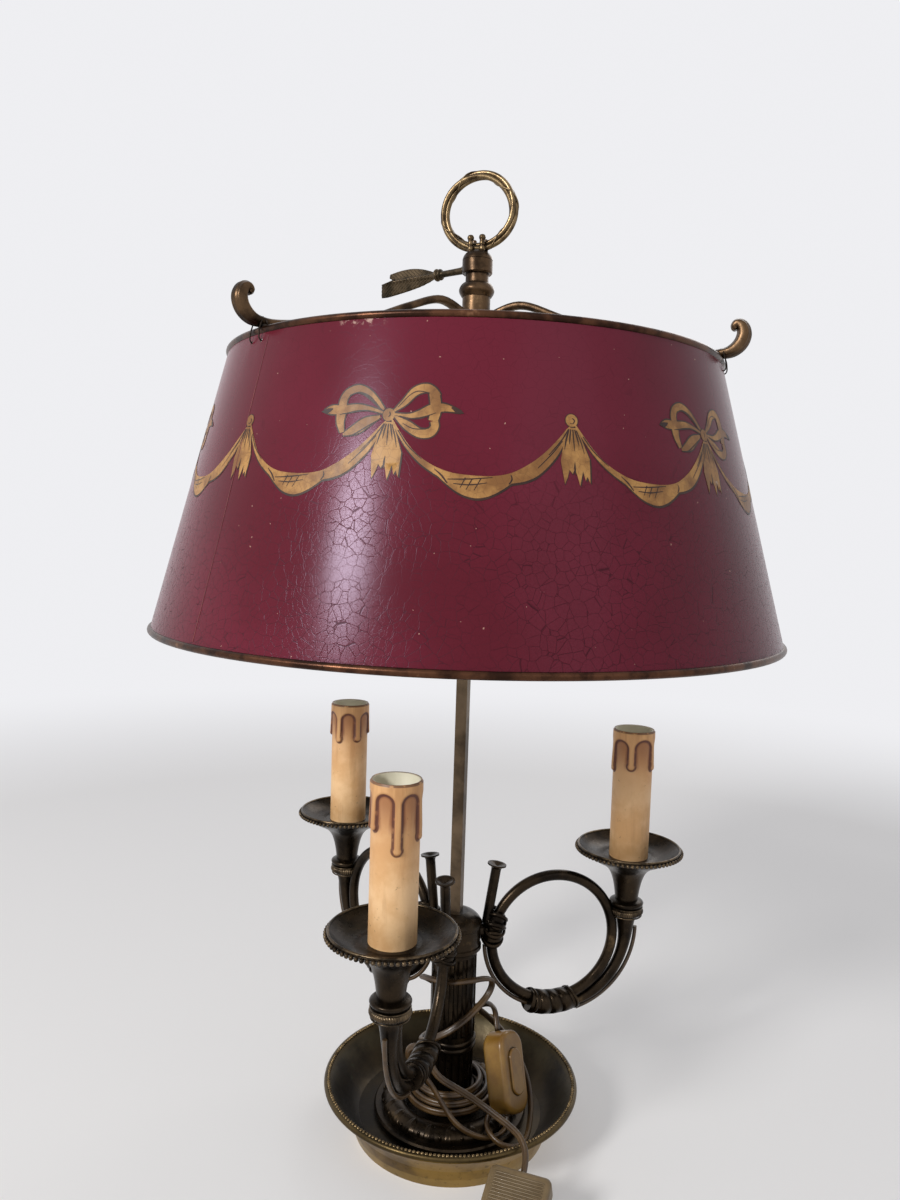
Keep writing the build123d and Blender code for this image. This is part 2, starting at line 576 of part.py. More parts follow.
# The scroll arm's centre line, x outwards, y up: it arches out of the hub, runs down to
# the shade's top bead, crosses it and rolls over outside.
BAR_HALF_HEIGHT = 1.8
BAR_SEAT = SHADE_TOP + SHADE_BEAD_RADIUS + BAR_HALF_HEIGHT
SCROLL_ROOT = 524.0
SCROLL_ARCH = 531.0
scroll_arms = {}
for place, azimuth in SCROLL_AZIMUTHS.items():
    plane = vertical_plane(azimuth)
    with BuildPart() as scroll_arm:
        with BuildLine(plane) as centre_line:
            rise = Spline(
                (HUB_BASE_RADIUS - 0.6, SCROLL_ROOT),
                (28.0, SCROLL_ARCH),
                (76.0, SCROLL_ARCH - 20.0),
                (SHADE_TOP_RADIUS - 24.0, BAR_SEAT + 4.6),
                (SHADE_TOP_RADIUS, BAR_SEAT + 1.0),
                tangents=((1.0, 0.75), (1.0, -0.02)),
            )
            curl = CenterArc(
                (SHADE_TOP_RADIUS + 8.0, BAR_SEAT + 1.0 + SCROLL_CURL_RADIUS),
                SCROLL_CURL_RADIUS, -90, 235,
            )
            Spline(rise @ 1, curl @ 0, tangents=((1.0, -0.02), (1.0, 0.0)))
        path = centre_line.wire()
        stations = ((0.0, 5.2, 5.0), (0.35, 5.0, 3.8), (0.74, 6.4, 3.6), (0.84, 8.0, 5.6), (1.0, 6.4, 3.4))
        for share, across, thick in stations:
            with BuildSketch(Plane(origin=path @ share, x_dir=plane.z_dir, z_dir=path % share)):
                Ellipse(across / 2, thick / 2)
        sweep(path=path, multisection=True)
        add(slider_hub.part, mode=Mode.SUBTRACT)
    scroll_arms[place] = scroll_arm
    save(scroll_arm, f"scroll_arm_{place}")

# ==== shade ====================================================================================
SHADE_LEAN = (SHADE_BOTTOM_RADIUS - SHADE_TOP_RADIUS) / (SHADE_TOP - SHADE_BOTTOM)


def shade_radius(height):
    """Outer face of the painted sheet at a height."""
    return SHADE_TOP_RADIUS + SHADE_STAND_OFF + (SHADE_TOP - height) * SHADE_LEAN


with BuildPart() as shade_shell:
    with BuildSketch(Plane.XZ) as sheet_section:
        with BuildLine():
            Polyline(
                (shade_radius(SHADE_TOP), SHADE_TOP),
                (shade_radius(SHADE_BOTTOM), SHADE_BOTTOM),
                (shade_radius(SHADE_BOTTOM) - SHADE_SHEET, SHADE_BOTTOM),
                (shade_radius(SHADE_TOP) - SHADE_SHEET, SHADE_TOP),
                close=True,
            )
        make_face()
    revolve(axis=Axis.Z)
    for azimuth in SCROLL_AZIMUTHS.values():
        outward = vertical_plane(azimuth).x_dir
        with BuildSketch(
            Plane(
                origin=outward * (SHADE_TOP_RADIUS - 10.0) + Vector(0, 0, SHADE_TOP - TIE_HOLE_DROP),
                z_dir=outward,
            )
        ):
            with GridLocations(SCROLL_WIDTH + 2 * TIE_HOLE_RADIUS, 0, 2, 1):
                Circle(TIE_HOLE_RADIUS)
        extrude(amount=20.0, mode=Mode.SUBTRACT)
save(shade_shell, "shade_shell")

for edge_name, height, radius in (
    ("shade_top_bead", SHADE_TOP, SHADE_TOP_RADIUS),
    ("shade_bottom_bead", SHADE_BOTTOM, SHADE_BOTTOM_RADIUS),
):
    with BuildPart() as bead:
        with BuildSketch(Plane.XZ):
            with Locations((radius, height)):
                Circle(SHADE_BEAD_RADIUS)
            add(sheet_section.sketch_local, mode=Mode.SUBTRACT)
        revolve(axis=Axis.Z)
    save(bead, edge_name)


# A wire tie holds each scroll arm to the top bead: out at one hole, over the arm, in at the other.
WIRE_TOP = BAR_SEAT + 6.6
WIRE_BOTTOM = SHADE_TOP - TIE_HOLE_DROP
WIRE_HALF_WIDTH = SCROLL_WIDTH / 2 + TIE_HOLE_RADIUS
WIRE_INSIDE = shade_radius(WIRE_BOTTOM) - SHADE_SHEET - TIE_WIRE_RADIUS - 0.5
WIRE_OUTSIDE = SHADE_TOP_RADIUS + SHADE_BEAD_RADIUS + TIE_WIRE_RADIUS + REST_GAP
with BuildPart() as tie_wires:
    for azimuth in SCROLL_AZIMUTHS.values():
        plane = vertical_plane(azimuth)
        corners = [
            (WIRE_INSIDE, WIRE_BOTTOM, -1.0),
            (WIRE_INSIDE, WIRE_BOTTOM, -WIRE_HALF_WIDTH),
            (WIRE_OUTSIDE, WIRE_BOTTOM, -WIRE_HALF_WIDTH),
            (WIRE_OUTSIDE, WIRE_TOP, -WIRE_HALF_WIDTH),
            (WIRE_OUTSIDE, WIRE_TOP, WIRE_HALF_WIDTH),
            (WIRE_OUTSIDE, WIRE_BOTTOM, WIRE_HALF_WIDTH),
            (WIRE_INSIDE, WIRE_BOTTOM, WIRE_HALF_WIDTH),
            (WIRE_INSIDE, WIRE_BOTTOM, 1.0),
        ]
        with BuildLine() as wire_line:
            FilletPolyline(
                *[plane.from_local_coords(corner) for corner in corners], radius=TIE_WIRE_RADIUS * 1.6,
            )
        path = wire_line.wire()
        with BuildSketch(Plane(origin=path @ 0, z_dir=path % 0)):
            Circle(TIE_WIRE_RADIUS)
        sweep(path=path)
save(tie_wires, "tie_wires")

# ==== horn arms ================================================================================
LOOP_CENTRE = (LOOP_CENTRE_REACH, LOOP_CENTRE_HEIGHT)
BELL_START_DEPTH = LOOP_RADIUS + LOOP_TUBE_RADIUS + TUBE_GAP + BELL_START_RADIUS
BEND_CENTRE = (CANDLE_REACH - BELL_BEND_RADIUS, LOOP_CENTRE_HEIGHT - BELL_START_DEPTH + BELL_BEND_RADIUS)
LEAD_LOOP_RADIUS = LOOP_RADIUS + LOOP_TUBE_RADIUS + TUBE_GAP + LEAD_RADIUS
LEAD_STAND_OFF = 4 * TUBE_GAP + LEAD_RADIUS
WRAP_START = -90.0 - WRAP_HALF_ANGLE
WRAP_END = -90.0 + WRAP_HALF_ANGLE
HOLDER_RADIUS = CANDLE_RADIUS - CANDLE_WALL - SLEEVE_GAP
SOCKET_FLOOR = CUP_FLOOR + HOLDER_HEIGHT - HOLDER_SOCKET_DEPTH

# The wrap and the knot are bands round the coil: start angle, arc and radius of each.
WRAP_MIDDLE_ARC = 2 * WRAP_HALF_ANGLE - 6 * WRAP_RIDGE_ARC
WRAP_BANDS = (
    (WRAP_START, WRAP_RIDGE_ARC, WRAP_RADIUS + WRAP_RIDGE),
    (WRAP_START + WRAP_RIDGE_ARC, WRAP_RIDGE_ARC, WRAP_RADIUS),
    (WRAP_START + 2 * WRAP_RIDGE_ARC, WRAP_RIDGE_ARC, WRAP_RADIUS + WRAP_RIDGE),
    (WRAP_START + 3 * WRAP_RIDGE_ARC, WRAP_MIDDLE_ARC, WRAP_RADIUS),
    (WRAP_END - 3 * WRAP_RIDGE_ARC, WRAP_RIDGE_ARC, WRAP_RADIUS + WRAP_RIDGE),
    (WRAP_END - 2 * WRAP_RIDGE_ARC, WRAP_RIDGE_ARC, WRAP_RADIUS),
    (WRAP_END - WRAP_RIDGE_ARC, WRAP_RIDGE_ARC, WRAP_RADIUS + WRAP_RIDGE),
)
KNOT_BAND_ARC = KNOT_ARC / 5
KNOT_BANDS = (
    (KNOT_START, KNOT_BAND_ARC, KNOT_RADIUS - KNOT_STEP),
    (KNOT_START + KNOT_BAND_ARC, KNOT_BAND_ARC, KNOT_RADIUS),
    (KNOT_START + 2 * KNOT_BAND_ARC, KNOT_BAND_ARC, KNOT_RADIUS - KNOT_STEP / 2),
    (KNOT_START + 3 * KNOT_BAND_ARC, KNOT_BAND_ARC, KNOT_RADIUS),
    (KNOT_START + 4 * KNOT_BAND_ARC, KNOT_BAND_ARC, KNOT_RADIUS - KNOT_STEP),
)


def turned_point(centre, radius, angle):
    """The point of a circle in a vertical plane at an angle from the outward line."""
    return (centre[0] + radius * cos(radians(angle)), centre[1] + radius * sin(radians(angle)))


def bend_angle(ray_angle):
    """Where, round the bell tube's bend, its centre line crosses a ray from the coil's centre."""
    ray = Vector(cos(radians(ray_angle)), sin(radians(ray_angle)), 0)
    offset = Vector(*LOOP_CENTRE, 0) - Vector(*BEND_CENTRE, 0)
    along = ray.dot(offset)
    crossing = offset + ray * (sqrt(along**2 - offset.length**2 + BELL_BEND_RADIUS**2) - along)
    return degrees(atan2(crossing.Y, crossing.X))


def ring_section_plane(plane, radius, angle):
    """The plane square to a ring round the coil's centre, at an angle from the outward line."""
    point = plane.from_local_coords((*turned_point(LOOP_CENTRE, radius, angle), 0))
    along = plane.from_local_coords((-sin(radians(angle)), cos(radians(angle)), 0)) - plane.origin
    return Plane(origin=point, x_dir=plane.z_dir, z_dir=along)


for place, azimuth in ARM_AZIMUTHS.items():
    plane = vertical_plane(azimuth)
    loop_axis = Axis(plane.from_local_coords((*LOOP_CENTRE, 0)), plane.z_dir)
    candle_axis = upright_axis(azimuth, CANDLE_REACH)
    candle_foot = plane.from_local_coords((CANDLE_REACH, 0, 0))

    # The bell tube leaves the wrap under the coil, swells round the bend and ends in the collar.
    bell_start = bend_angle(WRAP_END) + BELL_START_SLACK
    with BuildPart() as bell_tube:
        with BuildLine(plane) as bell_line:
            bend = CenterArc(BEND_CENTRE, BELL_BEND_RADIUS, bell_start, -bell_start)
            Line(bend @ 1, (CANDLE_REACH, COLLAR_BOTTOM))
        path = bell_line.wire()
        for share, radius in (
            (0.0, BELL_START_RADIUS),
            (0.45, BELL_MIDDLE_RADIUS),
            (0.9, BELL_BEND_END_RADIUS),
            (1.0, BELL_END_RADIUS),
        ):
            with BuildSketch(Plane(origin=path @ share, x_dir=plane.z_dir, z_dir=path % share)):
                Circle(radius)
        sweep(path=path, multisection=True)
    save(bell_tube, f"bell_tube_{place}")

    # The knot grips both ends of the coil and carries the arm on a stub from the capital.
    with BuildPart() as arm_knot:
        for angle, arc, radius in KNOT_BANDS:
            with BuildSketch(ring_section_plane(plane, LOOP_RADIUS, angle)):
                Circle(radius)
            revolve(axis=loop_axis, revolution_arc=arc)
        with BuildSketch(Plane(origin=(0, 0, STUB_HEIGHT), z_dir=plane.x_dir)):
            Circle(STUB_RADIUS)
        extrude(amount=KNOT_REACH)
        with BuildSketch(Plane.XY.offset(SHAFT_TOP)):
            Circle(CAPITAL_RADIUS - CAPITAL_GROOVE)
        extrude(amount=CAPITAL_BAND_HEIGHT, mode=Mode.SUBTRACT)
    save(arm_knot, f"arm_knot_{place}")

    # The mouthpipe leans beside the coil, above the knot.
    pipe_foot = plane.from_local_coords(
        (KNOT_REACH - MOUTHPIPE_FOOT_INSET, LOOP_CENTRE_HEIGHT + MOUTHPIPE_FOOT_RISE, 0)
    )
    pipe_top = plane.from_local_coords(
        (KNOT_REACH + MOUTHPIPE_TOP_SPREAD, LOOP_CENTRE_HEIGHT + MOUTHPIPE_TOP_RISE, 0)
    )
    pipe_length = (pipe_top - pipe_foot).length
    pipe_plane = Plane(origin=pipe_foot, x_dir=plane.z_dir, z_dir=pipe_top - pipe_foot)
    with BuildPart() as horn_loop:
        with BuildSketch(Plane(origin=pipe_foot, x_dir=pipe_plane.x_dir, z_dir=pipe_plane.y_dir)):
            with BuildLine():
                flare = Spline(
                    (MOUTHPIPE_RADIUS, -(pipe_length - MOUTHPIECE_FLARE)),
                    (MOUTHPIPE_RADIUS + 0.8, -(pipe_length - MOUTHPIECE_FLARE / 3)),
                    (MOUTHPIECE_RADIUS, -pipe_length),
                )
                Polyline(
                    flare @ 1,
                    (MOUTHPIECE_RADIUS, -(pipe_length + MOUTHPIECE_LIP)),
                    (MOUTHPIECE_RADIUS - 1.2, -(pipe_length + MOUTHPIECE_LIP)),
                    (0, -(pipe_length - MOUTHPIECE_LIP)),
                    (0, 0),
                    (MOUTHPIPE_RADIUS, 0),
                    flare @ 0,
                )
            make_face()
        revolve(axis=Axis(pipe_foot, pipe_top - pipe_foot))
        add(arm_knot.part, mode=Mode.SUBTRACT)
        with BuildSketch(ring_section_plane(plane, LOOP_RADIUS, KNOT_START + KNOT_ARC)):
            Circle(LOOP_TUBE_RADIUS)
        revolve(axis=loop_axis, revolution_arc=360.0 - KNOT_ARC)
    save(horn_loop, f"horn_loop_{place}")

    # The flex lead runs outside the bell tube into the wrap, and on outside the coil to the knot.
    with BuildPart() as lead:
        with BuildLine(plane) as outer_line:
            ThreePointArc(
                turned_point(BEND_CENTRE, BELL_BEND_RADIUS + BELL_BEND_END_RADIUS + LEAD_STAND_OFF, 2.0),
                turned_point(BEND_CENTRE, BELL_BEND_RADIUS + BELL_MIDDLE_RADIUS + LEAD_STAND_OFF, -40.0),
                turned_point(BEND_CENTRE, BELL_BEND_RADIUS + BELL_START_RADIUS + LEAD_STAND_OFF, bell_start),
            )
        path = outer_line.wire()
        with BuildSketch(Plane(origin=path @ 0, z_dir=path % 0)):
            Circle(LEAD_RADIUS)
        sweep(path=path)
        with BuildSketch(ring_section_plane(plane, LEAD_LOOP_RADIUS, KNOT_START + KNOT_ARC)):
            Circle(LEAD_RADIUS)
        revolve(axis=loop_axis, revolution_arc=360.0 + WRAP_START - KNOT_START - KNOT_ARC - WRAP_RIDGE)
    save(lead, f"arm_lead_{place}")

    # A cast ribbon in bands, with ridges at both ends, binds the coil and the bell tube together.
    with BuildPart() as ribbon_wrap:
        for angle, arc, radius in WRAP_BANDS:
            with BuildSketch(ring_section_plane(plane, WRAP_PATH_RADIUS, angle)):
                Circle(radius)
                with Locations((0, LOOP_RADIUS - WRAP_PATH_RADIUS)):
                    Circle(LOOP_TUBE_RADIUS, mode=Mode.SUBTRACT)
            revolve(axis=loop_axis, revolution_arc=arc)
    save(ribbon_wrap, f"ribbon_wrap_{place}")

    # Collar, drip cup, lampholder and candle sleeve stand on the candle's axis.
    with BuildPart() as collar:
        with BuildSketch(plane):
            with BuildLine():
                collar_side = Spline(
                    (CANDLE_REACH + BELL_END_RADIUS + 0.4, COLLAR_BOTTOM),
                    (CANDLE_REACH + BELL_END_RADIUS + 1.6, COLLAR_BOTTOM + 2.2),
                    (CANDLE_REACH + COLLAR_RADIUS, COLLAR_BOTTOM + 5.6),
                    (CANDLE_REACH + COLLAR_RADIUS - 1.0, COLLAR_BOTTOM + 7.8),
                    (CANDLE_REACH + COLLAR_RADIUS, COLLAR_BOTTOM + 10.0),
                    (CANDLE_REACH + CUP_NECK_RADIUS, COLLAR_TOP),
                )
                Polyline(
                    collar_side @ 1,
                    (CANDLE_REACH, COLLAR_TOP),
                    (CANDLE_REACH, COLLAR_BOTTOM),
                    collar_side @ 0,
                )
            make_face()
        revolve(axis=candle_axis)
        with BuildSketch(ring_section_plane(plane, LOOP_RADIUS, COLLAR_NOTCH_ANGLE)):
            Circle(COLLAR_NOTCH_RADIUS)
        extrude(amount=COLLAR_HEIGHT, both=True, mode=Mode.SUBTRACT)
    save(collar, f"bell_collar_{place}")

    with BuildPart() as drip_cup:
        with BuildSketch(plane):
            with BuildLine():
                trumpet = Spline(
                    (CANDLE_REACH + CUP_NECK_RADIUS, COLLAR_TOP),
                    (CANDLE_REACH + CUP_NECK_RADIUS + 1.2, COLLAR_TOP + 9.0),
                    (CANDLE_REACH + CUP_NECK_RADIUS + 6.0, CUP_FLOOR - 9.0),
                    (CANDLE_REACH + CUP_RIM_RADIUS - 8.5, CUP_FLOOR - 1.2),
                    (CANDLE_REACH + CUP_RIM_RADIUS - CUP_BEAD_RADIUS, CUP_RIM_HEIGHT - 1.6),
                )
                rim = ThreePointArc(
                    trumpet @ 1,
                    (CANDLE_REACH + CUP_RIM_RADIUS, CUP_RIM_HEIGHT - 0.8),
                    (CANDLE_REACH + CUP_RIM_RADIUS - CUP_BEAD_RADIUS, CUP_RIM_HEIGHT),
                )
                pan = Spline(
                    rim @ 1,
                    (CANDLE_REACH + CUP_RIM_RADIUS - 4.0, CUP_RIM_HEIGHT - 2.6),
                    (CANDLE_REACH + CUP_RIM_RADIUS - 9.0, CUP_FLOOR + 0.8),
                    (CANDLE_REACH + CANDLE_RADIUS + 3.0, CUP_FLOOR),
                )
                Polyline(pan @ 1, (CANDLE_REACH, CUP_FLOOR), (CANDLE_REACH, COLLAR_TOP), trumpet @ 0)
            make_face()
        revolve(axis=candle_axis)
        nipple_foot = candle_foot + Vector(0, 0, CUP_FLOOR - NIPPLE_LENGTH)
        with BuildSketch(Plane(origin=nipple_foot, z_dir=(0, 0, 1))):
            Circle(NIPPLE_RADIUS)
        extrude(amount=NIPPLE_LENGTH, mode=Mode.SUBTRACT)
    save(drip_cup, f"drip_cup_{place}")

    with BuildPart() as lampholder:
        with BuildSketch(plane):
            with BuildLine():
                Polyline(
                    (CANDLE_REACH, CUP_FLOOR - NIPPLE_LENGTH),
                    (CANDLE_REACH + NIPPLE_RADIUS, CUP_FLOOR - NIPPLE_LENGTH),
                    (CANDLE_REACH + NIPPLE_RADIUS, CUP_FLOOR),
                    (CANDLE_REACH + HOLDER_RADIUS, CUP_FLOOR),
                    (CANDLE_REACH + HOLDER_RADIUS, CUP_FLOOR + HOLDER_FOOT_HEIGHT),
                    (CANDLE_REACH + HOLDER_STEM_RADIUS, CUP_FLOOR + HOLDER_FOOT_HEIGHT),
                    (CANDLE_REACH + HOLDER_STEM_RADIUS, SOCKET_FLOOR - HOLDER_SHOULDER),
                    (CANDLE_REACH + HOLDER_RADIUS, SOCKET_FLOOR),
                    (CANDLE_REACH + HOLDER_RADIUS, CUP_FLOOR + HOLDER_HEIGHT),
                    (CANDLE_REACH + HOLDER_SOCKET_RADIUS, CUP_FLOOR + HOLDER_HEIGHT),
                    (CANDLE_REACH + HOLDER_SOCKET_RADIUS, SOCKET_FLOOR),
                    (CANDLE_REACH, SOCKET_FLOOR),
                    close=True,
                )
            make_face()
        revolve(axis=candle_axis)
    save(lampholder, f"lampholder_{place}")

    with BuildPart() as candle_sleeve:
        with BuildSketch(plane):
            with BuildLine():
                Polyline(
                    (CANDLE_REACH + CANDLE_RADIUS - CANDLE_WALL, CUP_FLOOR),
                    (CANDLE_REACH + CANDLE_RADIUS, CUP_FLOOR),
                    (CANDLE_REACH + CANDLE_RADIUS, CANDLE_TOP - 12.0),
                    (CANDLE_REACH + CANDLE_RADIUS + CANDLE_FLARE, CANDLE_TOP - 0.8),
                    (CANDLE_REACH + CANDLE_RADIUS + CANDLE_FLARE - 0.6, CANDLE_TOP),
                    (CANDLE_REACH + CANDLE_RADIUS - CANDLE_WALL, CANDLE_TOP),
                    close=True,
                )
            make_face()
        revolve(axis=candle_axis)
    save(candle_sleeve, f"candle_sleeve_{place}")

# ==== flex, switch and plug ======================================================================
# The flex leaves the boss through its bush and is wound round the boss into a heap of turns.
SHELF = DISH_FLOOR + PLINTH_SHELF_HEIGHT
with BuildPart() as cord_winding:
    with BuildSketch(Plane.XZ):
        with BuildLine():
            Polyline(
                (BOSS_RADIUS + BOLT_GAP, SHELF),
                (WINDING_RADIUS, SHELF),
                (WINDING_RADIUS, SHELF + WINDING_EDGE),
                (WINDING_TOP_RADIUS, SHELF + WINDING_HEIGHT),
                (BOSS_RADIUS + BOLT_GAP, SHELF + WINDING_HEIGHT),
                close=True,
            )
        make_face()
    revolve(axis=Axis.Z)
save(cord_winding, "cord_winding")

# The switch lies against the flex beside the column: x across it, y towards its head, z out of its face.
switch_middle = (Vector(*SWITCH_FOOT) + Vector(*SWITCH_HEAD)) * 0.5
switch_along = (Vector(*SWITCH_HEAD) - Vector(*SWITCH_FOOT)).normalized()
SWITCH_LENGTH = (Vector(*SWITCH_HEAD) - Vector(*SWITCH_FOOT)).length
facing = Vector(cos(radians(SWITCH_FACING)), sin(radians(SWITCH_FACING)), tan(radians(SWITCH_RISE)))
switch_plane = Plane(
    origin=switch_middle,
    x_dir=switch_along.cross(facing),
    z_dir=switch_along.cross(facing).cross(switch_along),
)
switch_depth = Axis(switch_middle, switch_plane.z_dir)
head_exit = Vector(*SWITCH_HEAD) + switch_along * SWITCH_EXIT_RUN
foot_exit = Vector(*SWITCH_FOOT) - switch_along * SWITCH_EXIT_RUN

with BuildPart() as switch_back:
    with BuildSketch(switch_plane):
        RectangleRounded(SWITCH_WIDTH, SWITCH_LENGTH, SWITCH_CORNER)
    extrude(amount=-SWITCH_BACK_DEPTH)
    fillet(switch_back.faces().sort_by(switch_depth)[0].edges(), SWITCH_EDGE)
save(switch_back, "switch_back")

rocker_axis_plane = Plane(
    origin=switch_plane.from_local_coords((0, 0, SWITCH_FRONT_DEPTH - ROCKER_PIN_DEPTH)),
    x_dir=switch_plane.z_dir,
    z_dir=switch_plane.x_dir,
)
with BuildPart() as switch_front:
    with BuildSketch(switch_plane):
        RectangleRounded(SWITCH_WIDTH, SWITCH_LENGTH, SWITCH_CORNER)
    extrude(amount=SWITCH_FRONT_DEPTH)
    fillet(switch_front.faces().sort_by(switch_depth)[-1].edges(), SWITCH_EDGE)
    with BuildSketch(switch_plane.offset(SWITCH_FRONT_DEPTH)):
        SlotOverall(ROCKER_LENGTH + 2 * ROCKER_GAP, ROCKER_WIDTH + 2 * ROCKER_GAP, rotation=90)
    extrude(amount=-ROCKER_DEPTH - ROCKER_DROP, mode=Mode.SUBTRACT)
    with BuildSketch(rocker_axis_plane):
        Circle(ROCKER_PIN_RADIUS + TURN_GAP)
    extrude(amount=ROCKER_WIDTH / 2 + ROCKER_PIN_LENGTH + REST_GAP, both=True, mode=Mode.SUBTRACT)
save(switch_front, "switch_front")

with BuildPart() as switch_rocker:
    with BuildSketch(switch_plane.offset(SWITCH_FRONT_DEPTH - ROCKER_DEPTH)):
        SlotOverall(ROCKER_LENGTH, ROCKER_WIDTH, rotation=90)
    extrude(amount=ROCKER_DEPTH + ROCKER_PROUD)
    fillet(switch_rocker.faces().sort_by(switch_depth)[-1].edges(), ROCKER_PROUD * 0.6)
    with BuildSketch(rocker_axis_plane):
        Circle(ROCKER_PIN_RADIUS)
    extrude(amount=ROCKER_WIDTH / 2 + ROCKER_PIN_LENGTH, both=True)
save(switch_rocker, "switch_rocker")

# The plug hangs outside the dish: x across it, y back along the flex, z out of its ribbed face.
plug_along = Vector(
    cos(radians(PLUG_SLOPE)) * cos(radians(PLUG_AZIMUTH)),
    cos(radians(PLUG_SLOPE)) * sin(radians(PLUG_AZIMUTH)),
    -sin(radians(PLUG_SLOPE)),
)
plug_side = Vector(cos(radians(PLUG_AZIMUTH + 90.0)), sin(radians(PLUG_AZIMUTH + 90.0)), 0)
plug_plane = Plane(origin=PLUG_ENTRY, x_dir=plug_side, z_dir=plug_along.cross(plug_side))
plug_exit = Vector(*PLUG_ENTRY) - plug_along * PLUG_EXIT_RUN
pin_plane = Plane(
    origin=Vector(*PLUG_ENTRY) + plug_along * (PLUG_LENGTH - PIN_ROOT), x_dir=plug_side, z_dir=plug_along,
)

with BuildPart() as plug_body:
    with BuildSketch(plug_plane):
        with Locations((0, -PLUG_LENGTH / 2)):
            RectangleRounded(PLUG_WIDTH, PLUG_LENGTH, PLUG_CORNER)
    extrude(amount=PLUG_THICKNESS / 2, both=True)
    plug_faces = plug_body.faces().sort_by(Axis(plug_plane.origin, plug_plane.z_dir))
    fillet(plug_faces[0].edges() + plug_faces[-1].edges(), PLUG_EDGE)
    with BuildSketch(pin_plane):
        with GridLocations(PIN_SPACING, 0, 2, 1):
            Circle(PIN_RADIUS)
    extrude(amount=PIN_ROOT + REST_GAP, mode=Mode.SUBTRACT)
save(plug_body, "plug_body")

with BuildPart() as plug_pins:
    with BuildSketch(pin_plane):
        with GridLocations(PIN_SPACING, 0, 2, 1):
            Circle(PIN_RADIUS)
    extrude(amount=PIN_ROOT + PIN_LENGTH)
save(plug_pins, "plug_pins")


def save_cord(points, name):
    """A tube of straight runs joined by tangent arcs, each as large as its two runs allow."""
    corners = [Vector(*point) for point in points]
    runs = [after - before for before, after in zip(corners, corners[1:])]
    radii = [
        CORD_ARC_SHARE * min(before.length, after.length) / tan(radians(before.get_angle(after)) / 2)
        for before, after in zip(runs, runs[1:])
    ]
    with BuildPart() as tube:
        with BuildLine() as route:
            FilletPolyline(*corners, radius=radii)
        path = route.wire()
        with BuildSketch(Plane(origin=path @ 0, z_dir=path % 0)):
            Circle(CORD_RADIUS)
        sweep(path=path)
    ideal = pi * CORD_RADIUS**2 * path.length
    print(name, "length", round(path.length, 1), "volume share", round(tube.part.volume / ideal, 4))
    print("  radii", [round(radius, 1) for radius in radii])
    save(tube, name)


# From the winding round under the switch, up behind the column, round it twice and into the switch.
save_cord(
    (
        (29.5, 7.0, 23.0),
        (31.2, -6.0, 23.2),
        (32.0, -18.5, 23.2),
        (32.2, -29.0, 23.0),
        (36.8, -35.6, 21.0),
        (44.6, -38.1, 18.0),
        (52.4, -35.6, 16.6),
        (57.2, -29.0, 16.6),
        (57.5, -18.0, 18.8),
        (56.0, -6.0, 25.5),
        (51.0, 6.0, 35.0),
        (41.5, 15.5, 45.5),
        (29.0, 24.5, 54.0),
        (14.0, 30.5, 61.0),
        (-2.0, 30.0, 69.0),
        (-16.0, 22.5, 79.0),
        (-22.5, 9.0, 90.0),
        (-20.5, -6.5, 98.5),
        (-11.0, -16.5, 103.0),
        (2.0, -19.7, 104.0),
        (14.5, -16.0, 105.5),
        (23.0, -8.0, 105.5),
        (26.3, 1.5, 100.5),
        (24.3, 2.0, 91.0),
        (17.5, -8.5, 83.0),
        (8.0, -18.0, 75.0),
        (-4.0, -20.5, 67.0),
        (-15.5, -14.5, 59.0),
        (-21.5, -2.5, 53.0),
        (-18.0, 12.0, 51.5),
        (-7.0, 22.0, 55.5),
        (5.0, 25.5, 64.0),
        (14.5, 21.5, 72.0),
        (21.5, 15.5, 76.5),
        (26.4, 8.8, 77.0),
        head_exit,
        SWITCH_HEAD,
    ),
    "cord_to_switch",
)

# From the switch round the plinth, over itself in front of the column and out over the lip to the plug.
save_cord(
    (
        SWITCH_FOOT,
        foot_exit,
        (41.2, -27.0, 16.8),
        (34.5, -33.0, 16.4),
        (25.0, -37.5, 19.8),
        (15.2, -37.2, 24.0),
        (7.5, -34.5, 30.0),
        (1.0, -33.2, 38.0),
        (-5.5, -33.0, 46.5),
        (-13.0, -33.8, 52.5),
        (-17.5, -35.0, 58.5),
        (-18.0, -36.2, 64.5),
        (-14.0, -37.5, 69.0),
        (-8.0, -38.5, 69.5),
        (-3.5, -39.2, 65.0),
        (-0.5, -39.8, 58.5),
        (5.0, -39.8, 52.8),
        (15.5, -39.8, 49.0),
        (28.5, -41.3, 45.0),
        (41.0, -45.5, 41.7),
        (52.0, -50.5, 40.0),
        (60.5, -56.0, 38.2),
        plug_exit,
        PLUG_ENTRY,
    ),
    "cord_to_plug",
)
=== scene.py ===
from math import ceil, copysign, cos, degrees, exp, hypot, inf, pi, radians, sin, sqrt, tan

import bmesh
import bpy
from mathutils import Matrix, Vector


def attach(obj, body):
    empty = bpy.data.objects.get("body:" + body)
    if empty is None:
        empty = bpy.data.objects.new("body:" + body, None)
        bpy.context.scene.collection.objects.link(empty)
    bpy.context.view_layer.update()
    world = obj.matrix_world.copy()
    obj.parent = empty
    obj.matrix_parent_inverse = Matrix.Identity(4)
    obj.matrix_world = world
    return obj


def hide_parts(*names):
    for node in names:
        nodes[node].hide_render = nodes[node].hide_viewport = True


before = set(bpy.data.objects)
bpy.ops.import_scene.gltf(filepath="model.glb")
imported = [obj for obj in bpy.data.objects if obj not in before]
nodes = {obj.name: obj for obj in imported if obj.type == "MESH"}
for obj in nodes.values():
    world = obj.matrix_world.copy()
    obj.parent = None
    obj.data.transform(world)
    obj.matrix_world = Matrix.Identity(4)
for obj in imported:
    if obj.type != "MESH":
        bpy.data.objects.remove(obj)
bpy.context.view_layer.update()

# The bouillotte lamp dressed over its solid model: metres, +Z up, front arm along -Y.

